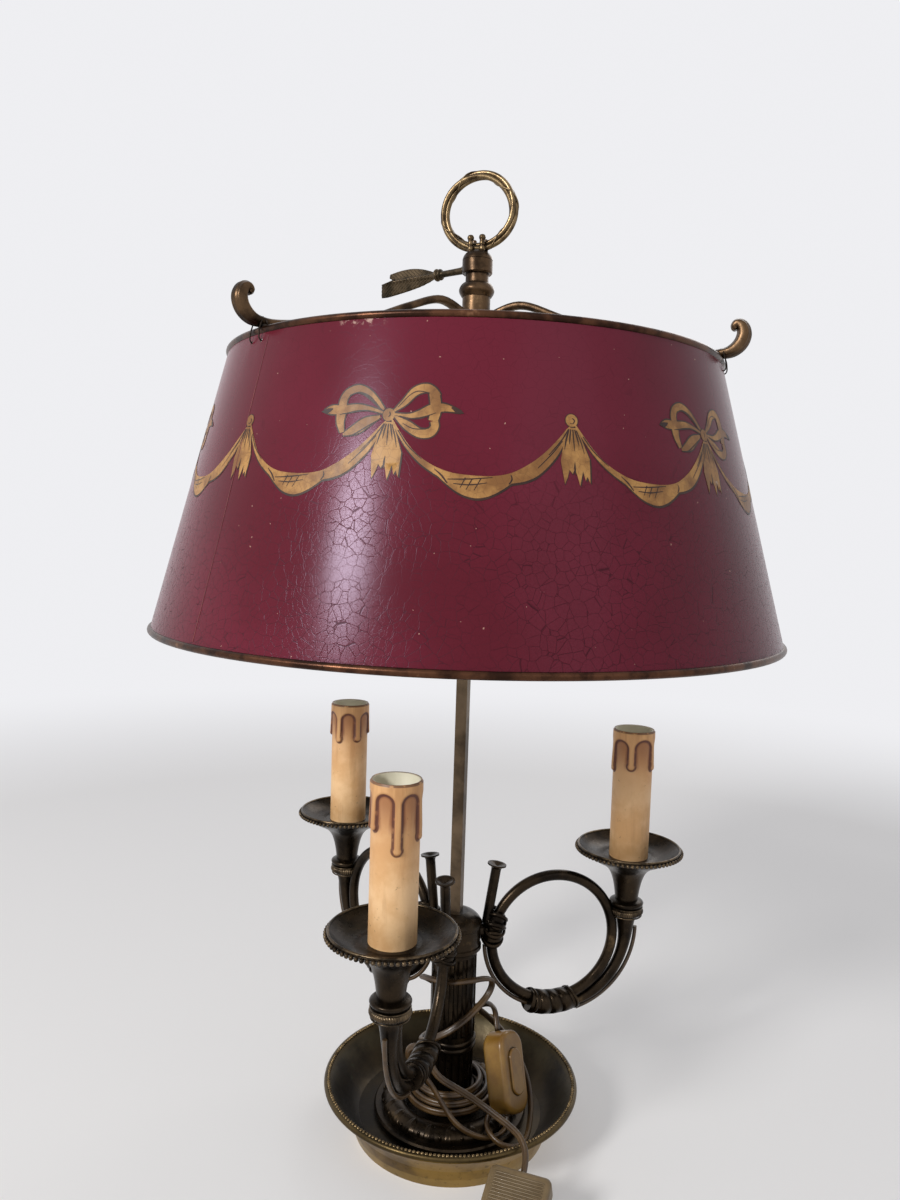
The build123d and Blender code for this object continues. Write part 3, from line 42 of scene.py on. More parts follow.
MM = 0.001
SHADE_TOP = 0.4908            # heights and radii of the shade's two rolled beads
SHADE_BOTTOM = 0.329
SHADE_TOP_RADIUS = 0.1484
SHADE_BOTTOM_RADIUS = 0.1909
SHADE_FACE = 0.0005           # the sheet's outer face stands that far outside the bead's centre line
ARMS = {"front": -90.0, "right": 30.0, "left": 150.0}
CANDLE_REACH = 0.1195
LOOP_CENTRE_REACH = 0.0675
LOOP_CENTRE_HEIGHT = 0.121
CUP_RIM_RADIUS = 0.0344
CUP_RIM_HEIGHT = 0.1808
CUP_FLOOR = 0.1746
CANDLE_TOP = 0.2614
CANDLE_RADIUS = 0.013
FLEX_RADIUS = 0.0022


# ---- camera
SENSOR = 36                   # millimetres along the longer side
CAMERA_LENS = 27.315
CAMERA_PLACE = (0.1592, -0.5557, 0.3906)
CAMERA_TURN = 0.297           # radians about the vertical
CAMERA_DIP = 0.076            # below level
CAMERA_ROLL = 0.032


def add_object(name, data):
    thing = bpy.data.objects.new(name, data)
    bpy.context.scene.collection.objects.link(thing)
    return thing


def set_camera():
    data = bpy.data.cameras.new("camera")
    data.lens = CAMERA_LENS
    data.sensor_width = SENSOR
    data.clip_start = 0.01
    data.clip_end = 20
    camera = add_object("camera", data)
    turn = Matrix.Rotation(CAMERA_TURN, 4, "Z") @ Matrix.Rotation(pi / 2 - CAMERA_DIP, 4, "X")
    camera.matrix_world = Matrix.Translation(CAMERA_PLACE) @ turn @ Matrix.Rotation(CAMERA_ROLL, 4, "Z")
    bpy.context.scene.camera = camera


set_camera()


# ---- places and lines
def polar(reach, angle, height=0.0):
    """A point at an angle in radians round the upright axis."""
    return Vector((reach * cos(angle), reach * sin(angle), height))


def upright(azimuth, reach, height, aside=0.0):
    """A point in the upright plane of an azimuth, and to one side of it."""
    angle = radians(azimuth)
    return polar(reach, angle, height) + polar(aside, angle - pi / 2)


def smooth_line(stations, count):
    """Points on a smooth line through stations of any width, one table row for each."""
    rows = []
    for step in range(count + 1):
        share = step / count * (len(stations) - 1)
        index = min(int(share), len(stations) - 2)
        part = share - index
        before, start = stations[max(index - 1, 0)], stations[index]
        end, after = stations[index + 1], stations[min(index + 2, len(stations) - 1)]
        row = []
        for a, b, c, d in zip(before, start, end, after):
            row.append(b + 0.5 * part * (c - a + part * (2 * a - 5 * b + 4 * c - d + part * (3 * (b - c) + d - a))))
        rows.append(row)
    return rows


def rows_at(rows, along):
    """The row at a share of the way through a table, between the ones before and after it."""
    last = len(rows) - 1
    index = round(along * last)
    return rows[max(index - 1, 0)], rows[index], rows[min(index + 1, last)]


def row_at(rows, along):
    return rows_at(rows, along)[1]


def drawn_curve(points, detail, kind="NURBS", flat=False):
    """The mesh that a curve draws: an open line in space, or a flat outline closed and filled."""
    data = bpy.data.curves.new("drawn", "CURVE")
    data.dimensions = "2D" if flat else "3D"
    if flat:
        data.fill_mode = "BOTH"
    data.resolution_u = detail
    spline = data.splines.new(kind)
    spline.points.add(len(points) - 1)
    for knot, point in zip(spline.points, points):
        knot.co = (*point, 1)
    if kind == "NURBS":
        spline.order_u = 3
    spline.use_cyclic_u = flat
    spline.use_endpoint_u = not flat
    thing = add_object("drawn", data)
    drawn = bpy.data.meshes.new_from_object(thing.evaluated_get(bpy.context.evaluated_depsgraph_get()))
    bpy.data.objects.remove(thing)
    return drawn


# ---- sheets, shells and sweeps
def sheet_of(columns, rows, place):
    """A grid whose corners go where place(across, along) says, both from 0 to 1."""
    mesh = bmesh.new()
    bmesh.ops.create_grid(mesh, x_segments=columns, y_segments=rows, size=0.5)
    for corner in mesh.verts:
        corner.co = place(corner.co.x + 0.5, corner.co.y + 0.5)
    return mesh


def outwards(mesh):
    """Turn the faces outwards."""
    bmesh.ops.recalc_face_normals(mesh, faces=mesh.faces)
    return mesh


def close_up(mesh):
    """Join the corners that meet, and turn the faces outwards."""
    bmesh.ops.remove_doubles(mesh, verts=mesh.verts, dist=1e-6)
    return outwards(mesh)


def capped(mesh):
    """Fill the open ends, and turn the faces outwards."""
    bmesh.ops.holes_fill(mesh, edges=mesh.edges, sides=0)
    return outwards(mesh)


def step_angle(share, steps):
    """The angle at a share of a full turn, with the last step back on the first."""
    return 2 * pi * (round(share * steps) % steps) / steps


def shell_of(columns, rows, place):
    """A sheet rolled up on itself: place(angle, along) says where its corners go."""
    return close_up(sheet_of(columns, rows, lambda across, along: place(step_angle(across, columns), along)))


def sweep(line, columns, section, wide):
    """A closed skin along a line: section(angle, along) gives the distances along wide and across it."""
    last = len(line) - 1
    runs = [(line[min(step + 1, last)] - line[max(step - 1, 0)]).normalized() for step in range(last + 1)]
    sides = [(wide - wide.dot(runs[0]) * runs[0]).normalized()]
    for before, run in zip(runs, runs[1:]):
        side = before.rotation_difference(run) @ sides[-1]
        sides.append((side - side.dot(run) * run).normalized())

    def place(angle, along):
        step = round(along * last)
        out, over = section(angle, along)
        return line[step] + out * sides[step] + over * runs[step].cross(sides[step])

    return capped(shell_of(columns, last, place))


def join_in(mesh, added):
    """Add one bmesh to another."""
    held = bpy.data.meshes.new("held")
    added.to_mesh(held)
    added.free()
    mesh.from_mesh(held)
    bpy.data.meshes.remove(held)


def mesh_object(name, mesh, finish=None):
    """An object from a bmesh; the flexes get their finish later."""
    data = bpy.data.meshes.new(name)
    mesh.to_mesh(data)
    mesh.free()
    if finish:
        data.materials.append(made_finishes[finish])
    return add_object(name, data)


def new_piece(name, mesh, finish, body, flat_ends=False):
    """A finished piece from a bmesh, riding on its body."""
    piece = mesh_object(name, mesh, finish)
    for face in piece.data.polygons:
        face.use_smooth = not flat_ends or len(face.vertices) == 4
    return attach(piece, body)


# ---- the flex: lamp to switch, and switch to plug
BUSH_AZIMUTH = 100.0
BUSH_HEIGHT = 0.02225
TURN_POINTS = 16
# Where the winding passes, turn by turn: turns from the bush, distance from the axis, height.
WINDING_PASSES = (
    (0, 18.7, 22.2), (0.25, 18.7, 23.9), (0.5, 18.7, 25.6), (0.75, 18.7, 27.2), (0.9, 18.7, 29.3), (1, 18.8, 31),
    (1.25, 19.7, 31.2), (1.5, 21.2, 30.4), (1.75, 22.4, 29.5), (2, 23.4, 28.4), (3, 26.2, 24.6), (4, 28.6, 20.6),
    (4.2, 29.6, 21.6),
)
FLEX_TO_SWITCH = (
    (29.5, 7, 23), (31.2, -6, 23.2), (32, -18.5, 23.2), (32.2, -29, 23), (36.8, -35.6, 21), (44.6, -38.1, 18),
    (52.4, -35.6, 16.6), (57.2, -29, 16.6), (57.5, -18, 18.8), (56, -6, 25.5), (51, 6, 35), (41.5, 15.5, 45.5),
    (29, 24.5, 54), (14, 30.5, 61), (-2, 30, 69), (-16, 22.5, 79), (-22.5, 9, 90), (-20.5, -6.5, 98.5),
    (-11, -16.5, 103), (2, -19.7, 104), (14.5, -16, 105.5), (23, -8, 105.5), (26.3, 1.5, 100.5), (24.3, 2, 91),
    (17.5, -8.5, 83), (8, -18, 75), (-4, -20.5, 67), (-15.5, -14.5, 59), (-21.5, -2.5, 53), (-18, 12, 51.5),
    (-7, 22, 55.5), (5, 25.5, 64), (14.5, 21.5, 72), (21.5, 15.5, 76.5), (26.4, 8.8, 77), (29.1, 3.2, 72.5),
    (30.6, 0.8, 67.2),
)
FLEX_TO_PLUG = (
    (42.8, -18, 25), (44.3, -20.4, 19.7), (41.2, -27, 16.8), (34.5, -33, 16.4), (25, -37.5, 19.8), (15.2, -37.2, 24),
    (7.5, -34.5, 30), (1, -33.2, 38), (-5.5, -33, 46.5), (-13, -33.8, 52.5), (-17.5, -35, 58.5), (-18, -36.2, 64.5),
    (-14, -37.5, 69), (-8, -38.5, 69.5), (-3.5, -39.2, 65), (-0.5, -39.8, 58.5), (5, -39.8, 52.8), (15.5, -39.8, 49),
    (28.5, -41.3, 45), (41, -45.5, 41.7), (52, -50.5, 40), (60.5, -56, 38.2), (65.8, -63.6, 31.8), (65.3, -72.6, 27.6),
)


def between(table, share):
    """The values of a table's columns at a share, straight between its rows."""
    for low, high in zip(table, table[1:]):
        if share <= high[0]:
            part = (share - low[0]) / (high[0] - low[0])
            return [a + (b - a) * part for a, b in zip(low[1:], high[1:])]
    return list(table[-1][1:])


def winding_points():
    """The turns round the column's foot: a control polygon a little wider than its smooth line."""
    swell = 1 / cos(pi / TURN_POINTS)
    count = int(WINDING_PASSES[-1][0] * TURN_POINTS)
    points = [Vector((0, 0.0168, BUSH_HEIGHT))]
    for step in range(1, count + 1):
        turn = step / TURN_POINTS
        reach, height = between(WINDING_PASSES, turn)
        angle = radians(BUSH_AZIMUTH - 360 * turn)
        points.append(polar(reach * swell * MM, angle, height * MM))
    points[0].rotate(Matrix.Rotation(radians(BUSH_AZIMUTH - 90), 3, "Z"))
    return points


def route_line(points):
    """The smooth line that a route's points control, read close together."""
    drawn = drawn_curve(points, 6)
    line = [corner.co.copy() for corner in drawn.vertices]
    bpy.data.meshes.remove(drawn)
    return line


def twin_section(angle, along):
    """Two round cores side by side in one sheath."""
    core, apart = 0.64 * FLEX_RADIUS, 0.36 * FLEX_RADIUS
    reach = apart * abs(cos(angle)) + sqrt(core ** 2 - (apart * sin(angle)) ** 2)
    return reach * cos(angle), reach * sin(angle)


def flex(name, line):
    return new_piece(name, sweep(line, 20, twin_section, Vector((0, 0, 1))), None, "stand", flat_ends=True)


lamp_flex_line = route_line(winding_points() + [Vector(p) * MM for p in FLEX_TO_SWITCH])
plug_flex_line = route_line([Vector(p) * MM for p in FLEX_TO_PLUG])
lamp_flex = flex("lamp_flex", lamp_flex_line)
plug_flex = flex("plug_flex", plug_flex_line)
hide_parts("cord_winding", "cord_to_switch")
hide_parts("cord_to_plug")
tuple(lamp_flex_line[0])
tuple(plug_flex_line[0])


# ---- finishes
made_finishes = {}


def new_finish(name):
    """An empty finish: its node tree and its shader."""
    material = made_finishes[name] = bpy.data.materials.new(name)
    material.use_nodes = True
    return material.node_tree, material.node_tree.nodes["Principled BSDF"]


def feed(socket, value):
    """Set a socket to a value, or link another socket into it."""
    if isinstance(value, bpy.types.NodeSocket):
        socket.id_data.links.new(value, socket)
    elif hasattr(socket.default_value, "__len__") and len(value) == 3 and len(socket.default_value) == 4:
        socket.default_value = (*value, 1)
    else:
        socket.default_value = value


def add_node(tree, kind, given, **settings):
    """A shader node with its settings made and its inputs fed."""
    node = tree.nodes.new("ShaderNode" + kind)
    for setting, value in settings.items():
        setattr(node, setting, value)
    for name, value in given.items():
        feed(node.inputs[name], value)
    return node


def surface_place(tree, stretch=(1, 1, 1)):
    """Object coordinates, stretched where a grain runs one way."""
    place = tree.nodes.new("ShaderNodeTexCoord").outputs["Object"]
    return add_node(tree, "Mapping", {"Vector": place, "Scale": stretch}).outputs["Vector"]


def mottle(place, grain, detail=5):
    """Cloudy variation with spots 1 / grain of a metre across."""
    given = {"Vector": place, "Scale": grain, "Detail": detail, "Roughness": 0.6}
    return add_node(place.id_data, "TexNoise", given).outputs["Fac"]


def fade(value, start, end):
    """0 at start, 1 at end, smooth between them."""
    given = {
        "Value": value, "From Min": min(start, end), "From Max": max(start, end),
        "To Min": float(start > end), "To Max": float(start < end),
    }
    return add_node(value.id_data, "MapRange", given, interpolation_type="SMOOTHSTEP").outputs["Result"]


def cracks(place, grain, width):
    """1 on thin lines between irregular cells, 0 inside them."""
    cells = add_node(place.id_data, "TexVoronoi", {"Vector": place, "Scale": grain}, feature="DISTANCE_TO_EDGE")
    return fade(cells.outputs["Distance"], width, 0.0)


def calc(operation, first, second=0.0):
    tree = (first if isinstance(first, bpy.types.NodeSocket) else second).id_data
    return add_node(tree, "Math", {0: first, 1: second}, operation=operation).outputs["Value"]


def times(first, second):
    return calc("MULTIPLY", first, second)


def plus(first, second):
    return calc("ADD", first, second)


def tint(share, under, over):
    """under where share is 0, over where it is 1."""
    given = {"Factor": share, "A": under, "B": over}
    return add_node(share.id_data, "Mix", given, data_type="RGBA").outputs["Result"]


def washed(colour, *washes):
    """A colour under thin washes: where each one shows, how strongly, and its colour."""
    for where, strength, wash in washes:
        colour = tint(times(where, strength), colour, wash)
    return colour


def axes(place):
    """The three coordinates of a place."""
    split = add_node(place.id_data, "SeparateXYZ", {"Vector": place})
    return split.outputs["X"], split.outputs["Y"], split.outputs["Z"]


def from_axis(x, y):
    """Distance from the upright axis."""
    return calc("SQRT", plus(calc("POWER", x, 2.0), calc("POWER", y, 2.0)))


def hollows(tree, depth):
    """1 in narrow hollows, 0 on open faces."""
    node = add_node(tree, "AmbientOcclusion", {"Distance": depth}, samples=6)
    return fade(node.outputs["AO"], 0.95, 0.35)


def dress(shader, colour, uneven, share, least, height, depth):
    """Colour, a roughness of least and up to share more, and a bump of a depth in metres."""
    feed(shader.inputs["Base Color"], colour)
    feed(shader.inputs["Roughness"], plus(times(uneven, share), least))
    bump = add_node(shader.id_data, "Bump", {"Distance": depth, "Height": height})
    feed(shader.inputs["Normal"], bump.outputs["Normal"])


def patinated_brass(name, dark, body, bright, rough, grain):
    """Old brass: a mottled patina, darker in the hollows, rubbed brighter in patches."""
    tree, shader = new_finish(name)
    place = surface_place(tree)
    clouds = mottle(place, grain)
    specks = mottle(place, grain * 9, 3)
    colour = tint(fade(clouds, 0.36, 0.6), dark, body)
    colour = tint(fade(clouds, 0.62, 0.75), colour, bright)
    colour = washed(colour, (fade(specks, 0.6, 0.75), 0.5, dark), (hollows(tree, 0.005), 0.75, dark))
    dress(shader, colour, specks, 0.22, rough - 0.11, plus(specks, clouds), 0.0036 / grain)
    shader.inputs["Metallic"].default_value = 0.88


# The colours of each brass in its hollows, on its body and where it is rubbed, its roughness and its grain.
BRASSES = {
    "dark_bronze": ((0.009, 0.006, 0.0035), (0.03, 0.0195, 0.0105), (0.12, 0.078, 0.038), 0.3, 45),
    "ring_brass": ((0.05, 0.031, 0.014), (0.21, 0.145, 0.074), (0.38, 0.28, 0.155), 0.33, 90),
    "hub_brass": ((0.026, 0.0145, 0.007), (0.1, 0.058, 0.029), (0.25, 0.155, 0.078), 0.34, 60),
    "rod_brass": ((0.06, 0.042, 0.026), (0.15, 0.105, 0.065), (0.3, 0.22, 0.14), 0.42, 30),
    "key_brass": ((0.03, 0.022, 0.012), (0.1, 0.07, 0.04), (0.2, 0.14, 0.08), 0.4, 80),
    "bead_copper": ((0.026, 0.01, 0.005), (0.09, 0.037, 0.018), (0.26, 0.13, 0.066), 0.34, 70),
    # Painted highlight: the dish's beads get a much paler brass than the dark lip they sit on.
    "highlit_beads": ((0.06, 0.04, 0.018), (0.24, 0.165, 0.08), (0.45, 0.33, 0.17), 0.32, 120),
    # Painted highlight: a paler copy of the dark bronze for the cups' beads, rims and knurled collars.
    "highlit_bronze": ((0.02, 0.0135, 0.0075), (0.12, 0.084, 0.048), (0.3, 0.215, 0.125), 0.3, 110),
    "tie_wire": ((0.012, 0.008, 0.006), (0.03, 0.02, 0.014), (0.07, 0.05, 0.035), 0.5, 200),
    "washer_steel": ((0.12, 0.11, 0.1), (0.32, 0.31, 0.29), (0.45, 0.44, 0.42), 0.45, 60),
    "plug_pins": ((0.3, 0.2, 0.08), (0.55, 0.42, 0.2), (0.75, 0.62, 0.36), 0.3, 120),
}
for name, looks in BRASSES.items():
    patinated_brass(name, *looks)

# Heights and reaches of the dish wall's middle, in millimetres, and the span of those reaches.
WALL_MIDDLE = ((0, 60.8), (8, 61.2), (10, 62), (13.6, 66.2), (23, 73.4), (26.4, 76.6), (29.4, 81), (32.6, 82.4))
WALL_LEAST, WALL_SPREAD = 60, 25


def dish_wall(height):
    """Distance of the middle of the dish's wall from the axis, from the foot up to the rolled lip."""
    low, high = WALL_MIDDLE[0][0], WALL_MIDDLE[-1][0]
    middle = add_node(height.id_data, "FloatCurve", {})
    knots = middle.mapping.curves[0].points
    for up, out in WALL_MIDDLE:
        spot = ((up - low) / (high - low), (out - WALL_LEAST) / WALL_SPREAD)
        if up in (low, high):
            knots[0 if up == low else -1].location = spot
        else:
            knots.new(*spot)
    for knot in knots:
        knot.handle_type = "VECTOR"
    middle.mapping.update()
    feed(middle.inputs["Value"], calc("DIVIDE", calc("SUBTRACT", height, low * MM), (high - low) * MM))
    return plus(times(middle.outputs["Value"], WALL_SPREAD * MM), WALL_LEAST * MM)


def dish_finish():
    """The dish: olive brass outside, nearly black inside, with a painted highlight in patches along the lip."""
    tree, shader = new_finish("dish_brass")
    place = surface_place(tree)
    clouds = mottle(place, 22)
    specks = mottle(place, 260, 4)
    x, y, height = axes(place)
    reach = from_axis(x, y)
    inside = fade(calc("SUBTRACT", reach, dish_wall(height)), 0.0004, -0.0004)
    outside = tint(fade(clouds, 0.35, 0.62), (0.085, 0.047, 0.011), (0.28, 0.17, 0.038))
    inner = tint(fade(clouds, 0.38, 0.66), (0.01, 0.0065, 0.003), (0.034, 0.023, 0.0105))
    upper = times(fade(height, 0.015, 0.029), fade(clouds, 0.36, 0.6))
    colour = tint(inside, outside, washed(inner, (upper, 0.6, (0.052, 0.043, 0.024))))
    # Painted highlight: a paler band, in patches, along the rolled lip.
    lip_highlight = times(fade(height, 0.0306, 0.0318), fade(clouds, 0.42, 0.56))
    green = times(fade(mottle(place, 36, 2), 0.68, 0.74), fade(reach, 0.06, 0.066))
    colour = washed(
        colour,
        (fade(height, 0.0285, 0.0305), 0.9, (0.042, 0.029, 0.0115)),
        (lip_highlight, 0.4, (0.12, 0.082, 0.036)),
        (fade(height, 0.0068, 0.0055), 0.5, (0.36, 0.24, 0.07)),
        (green, 0.5, (0.12, 0.2, 0.1)),
        (fade(specks, 0.56, 0.72), 0.55, (0.03, 0.02, 0.01)),
    )
    dress(shader, colour, specks, 0.25, 0.24, specks, 0.00008)
    shader.inputs["Metallic"].default_value = 0.88


SHADE_LEAN = (SHADE_BOTTOM_RADIUS - SHADE_TOP_RADIUS) / (SHADE_TOP - SHADE_BOTTOM)


def lacquer_finish():
    """The shade's sheet: crackled burgundy lacquer outside, cream enamel inside."""
    tree, shader = new_finish("burgundy_lacquer")
    place = surface_place(tree)
    clouds = mottle(place, 7, 3)
    drift = times(mottle(place, 60, 2), 0.003)
    moved = add_node(tree, "VectorMath", {0: place, 1: (1, 1, 1), 2: drift}, operation="MULTIPLY_ADD")
    large = cracks(moved.outputs["Vector"], 190, 0.034)
    small = cracks(moved.outputs["Vector"], 400, 0.04)
    x, y, height = axes(place)
    # The crackle shows most low down on the shade, and in patches.
    shown = times(calc("MAXIMUM", large, times(small, 0.35)), plus(times(fade(height, 0.45, 0.37), 0.72), 0.22))
    shown = times(shown, fade(clouds, 0.3, 0.46))
    # A chipped spot at the upper edge.
    chip = add_node(tree, "VectorMath", {0: place, 1: (-0.013, -0.1492, 0.487)}, operation="DISTANCE")
    chipped = times(fade(height, 0.485, 0.4872), fade(mottle(place, 190, 4), 0.5, 0.6))
    paint = washed(
        tint(fade(clouds, 0.35, 0.65), (0.094, 0.0085, 0.0155), (0.128, 0.0128, 0.025)),
        (shown, 0.8, (0.022, 0.0025, 0.004)),
        (fade(mottle(place, 420, 1), 0.79, 0.81), 1.0, (0.4, 0.22, 0.17)),
        (times(chipped, fade(chip.outputs["Value"], 0.014, 0.008)), 0.85, (0.5, 0.33, 0.27)),
    )
    face = plus(times(height, -SHADE_LEAN), SHADE_TOP_RADIUS + SHADE_FACE + SHADE_TOP * SHADE_LEAN)
    inside = fade(calc("SUBTRACT", face, from_axis(x, y)), 0.0003, 0.0005)
    colour = tint(inside, paint, tint(clouds, (0.62, 0.57, 0.46), (0.72, 0.68, 0.58)))
    dress(shader, colour, shown, 0.25, 0.21, calc("SUBTRACT", 1.0, shown), 0.00003)
    shader.inputs["IOR"].default_value = 1.25
    shader.inputs["Specular Tint"].default_value = (0.88, 0.78, 1.0, 1)


def festoon_paint(name, pale, deep):
    """Hand-laid paint: brushed unevenly, thin in places, crazed with the lacquer under it."""
    tree, shader = new_finish(name)
    place = surface_place(tree)
    brushed = mottle(surface_place(tree, (1, 1, 0.35)), 300, 3)
    colour = washed(
        tint(fade(mottle(place, 55, 4), 0.36, 0.62), pale, deep),
        (fade(brushed, 0.52, 0.7), 0.45, deep),
        (cracks(place, 240, 0.04), 0.3, (0.05, 0.015, 0.01)),
    )
    feed(shader.inputs["Base Color"], colour)
    feed(shader.inputs["Roughness"], plus(times(brushed, 0.2), 0.34))
    shader.inputs["Specular IOR Level"].default_value = 0.3


festoon_paint("festoon_gold", (0.43, 0.225, 0.07), (0.2, 0.088, 0.026))
festoon_paint("festoon_shadow", (0.04, 0.016, 0.01), (0.018, 0.006, 0.004))
festoon_paint("seam_line", (0.21, 0.045, 0.042), (0.13, 0.022, 0.024))


def candle_finish():
    """The card sleeve with its wax coat: ochre, aged in streaks; the drips outlined in brown."""
    tree, shader = new_finish("aged_wax")
    place = surface_place(tree)
    clouds = mottle(place, 38)
    streaks = mottle(surface_place(tree, (1, 1, 0.12)), 150, 4)
    spots = mottle(place, 300, 4)
    height = axes(place)[2]
    # Millimetres from the edge of the wax coat, and 1 in the bore.
    away = add_node(tree, "Attribute", {}, attribute_name="drip_edge").outputs["Fac"]
    bore = add_node(tree, "Attribute", {}, attribute_name="bore").outputs["Fac"]
    bare = fade(away, -0.2, 0.2)
    colour = washed(
        tint(fade(clouds, 0.36, 0.62), (0.83, 0.54, 0.28), (0.68, 0.385, 0.165)),
        (fade(height, 0.2, 0.262), 0.85, (0.52, 0.24, 0.085)),
        (fade(streaks, 0.52, 0.74), 0.4, (0.42, 0.2, 0.075)),
        (fade(spots, 0.64, 0.74), 0.6, (0.2, 0.085, 0.03)),
    )
    coat = tint(fade(streaks, 0.35, 0.65), (0.68, 0.38, 0.16), (0.5, 0.25, 0.095))
    worn = times(fade(away, -1.6, -0.3), fade(away, 0.4, -0.1))
    # Brown wash: along the drips' edges, and over the whole of the arches between them.
    edges = times(times(fade(away, 4.6, 0.8), bare), fade(height, 0.233, 0.243))
    arches = times(times(fade(height, 0.232, 0.253), bare), 0.66)
    blots = fade(mottle(place, 210, 3), 0.3, 0.46)
    outline = times(fade(away, 1.6, 0.85), fade(away, -0.6, -0.05))
    colour = washed(
        tint(fade(away, 0.35, -0.1), colour, coat),
        (worn, 0.55, (0.4, 0.16, 0.05)),
        (calc("MAXIMUM", edges, arches), 0.9, (0.21, 0.062, 0.018)),
        (outline, plus(times(blots, 0.5), 0.42), (0.085, 0.018, 0.007)),
        (times(fade(height, 0.2603, 0.2608), blots), 0.8, (0.09, 0.035, 0.018)),
    )
    colour = tint(bore, colour, (0.66, 0.62, 0.48))
    dress(shader, colour, spots, 0.25, 0.36, plus(spots, streaks), 0.00015)


def plastic(name, body, aged, rough, grain=60, glow=0.05):
    """Old moulded plastic: yellowed in patches, with painted shade in its seams and fine scuffs."""
    tree, shader = new_finish(name)
    place = surface_place(tree)
    scuffs = mottle(place, grain * 12, 3)
    colour = tint(fade(mottle(place, grain), 0.35, 0.65), body, aged)
    # Painted shade: darker in the seams and narrow hollows, where an ambient-occlusion test finds them.
    colour = washed(colour, (hollows(tree, 0.0035), 0.85, (0.03, 0.018, 0.008)))
    dress(shader, colour, scuffs, 0.25, rough - 0.1, scuffs, 0.00004)
    shader.inputs["Coat Weight"].default_value = glow


plastic("switch_ochre", (0.27, 0.145, 0.026), (0.19, 0.092, 0.015), 0.32)
plastic("plug_khaki", (0.19, 0.13, 0.062), (0.14, 0.092, 0.04), 0.45)
plastic("holder_black", (0.03, 0.027, 0.024), (0.05, 0.045, 0.04), 0.45)
plastic("lead_brown", (0.045, 0.025, 0.01), (0.085, 0.048, 0.019), 0.32, 150, 0.0)
plastic("flex_gold", (0.085, 0.046, 0.015), (0.042, 0.022, 0.008), 0.34, 90, 0.0)

dish_finish()
lacquer_finish()
candle_finish()

# The finish of each node, by how the node's name starts. The other nodes are castings of dark bronze.
NODE_FINISHES = {
    "base_dish": "dish_brass",
    "base_": "washer_steel",
    "tie_rod": "washer_steel",
    "square_rod": "rod_brass",
    "finial_cap": "hub_brass",
    "slider_hub": "hub_brass",
    "arrow_key": "key_brass",
    "ring_handle": "ring_brass",
    "shade_shell": "burgundy_lacquer",
    "shade_": "bead_copper",
    "tie_wires": "tie_wire",
    "dish_bead_ring": "highlit_beads",
    "cord_bush": "holder_black",
    "lampholder": "holder_black",
    "arm_lead": "lead_brown",
    "switch": "switch_ochre",
    "plug_body": "plug_khaki",
    "plug_pins": "plug_pins",
}

for node_name, node in nodes.items():
    starts = [start for start in NODE_FINISHES if node_name.startswith(start)]
    node.data.materials.clear()
    node.data.materials.append(made_finishes[NODE_FINISHES[starts[0]] if starts else "dark_bronze"])
for piece in (lamp_flex, plug_flex):
    piece.data.materials.append(made_finishes["flex_gold"])


# ---- the painted festoon
BOW_AZIMUTH = -87.7
BOW_HEIGHT = 0.4424
SWAG_SPAN = 84.8              # millimetres round the shade from a bow to the next knot
MOTIFS = 12                   # bows and knots in turn round the shade
# Each layer's finish, and how far it stands off the lacquer.
PAINT_LAYERS = {
    "shadow": ("festoon_shadow", 0.00006), "gold": ("festoon_gold", 0.0001), "lines": ("festoon_shadow", 0.00014),
}

# Ribbons of the bow, in millimetres from its knot: along, up and width.
BOW_RIBBONS = (
    ((-3, 1.2, 1), (-9.5, 3.1, 1.6), (-16, 3.8, 2.8), (-23.5, 2.9, 3.8), (-30, 2.9, 4), (-34.2, 2.4, 0.4)),
    ((-24.2, 2, 5.2), (-24, -3, 3.8), (-22.2, -8, 2)),
    ((-21.6, -9, 1), (-15.5, -6.6, 4.8), (-10.5, -3.4, 4.8), (-4, -0.6, 1)),
    ((-2.6, 2.6, 1), (-7.5, 7.5, 2.6), (-12.5, 11.3, 3.2), (-17.5, 12.7, 3.4), (-22.2, 10.8, 3.6),
     (-24, 7.2, 4), (-23.8, 3.6, 4)),
    ((2.5, 0.5, 0.8), (9.5, -0.3, 1.8), (14.7, 0.6, 3.4), (20, 2.9, 4.2), (26, 3.6, 3.4), (33.6, 1.6, 0.4)),
    ((20.6, 10.6, 4.8), (21.8, 3, 4.8), (20.9, -2.6, 4.2)),
    ((3, -0.5, 0.8), (9, -4.6, 3.8), (14.8, -8.1, 4), (19.6, -8.1, 4), (21.8, -5.4, 3.6), (21.4, -2.6, 3.4)),
    ((2.4, 2, 1), (7, 6, 3), (11.5, 11, 4), (16.5, 12.7, 4), (20, 11.4, 3.6), (21.8, 8.6, 4.2)),
)
BOW_LINES = (
    ((-4, 2.6, 0.5), (-10, 8.4, 0.9), (-16, 10.8, 0.8), (-21, 9.6, 0.4)),
    ((-5, 1, 0.4), (-12, 2.2, 0.8), (-20, 1.2, 0.7), (-25, 0.6, 0.3)),
    ((-29, 3.4, 0.6), (-32, 2.4, 2.4), (-35.2, 2.2, 0.3)),
    ((-6, -2.8, 0.3), (-12, -6.6, 0.7), (-17, -9.3, 0.6), (-22, -9.6, 0.3)),
    ((4, 3.6, 0.3), (9, 9.2, 0.4), (13, 11.2, 0.5), (18.5, 10.4, 0.3)),
    ((29, 3.8, 0.7), (32, 2.2, 2.2), (34.6, 1.2, 0.3)),
    ((5, -0.4, 0.4), (11, -1.6, 0.6), (17, -0.6, 0.5), (22, 1.2, 0.3)),
    ((7, -3.8, 0.3), (12, -6.2, 0.5), (18, -6.4, 0.4)),
    ((0.2, 1.6, 0.4), (0.7, 0.2, 0.6), (-0.1, -0.9, 0.3)),
)
KNOT_LINES = (
    ((0.4, 1.2, 0.4), (1.4, 0.2, 0.7), (0.6, -1.2, 0.4), (-0.8, -1.2, 0.3)),
)
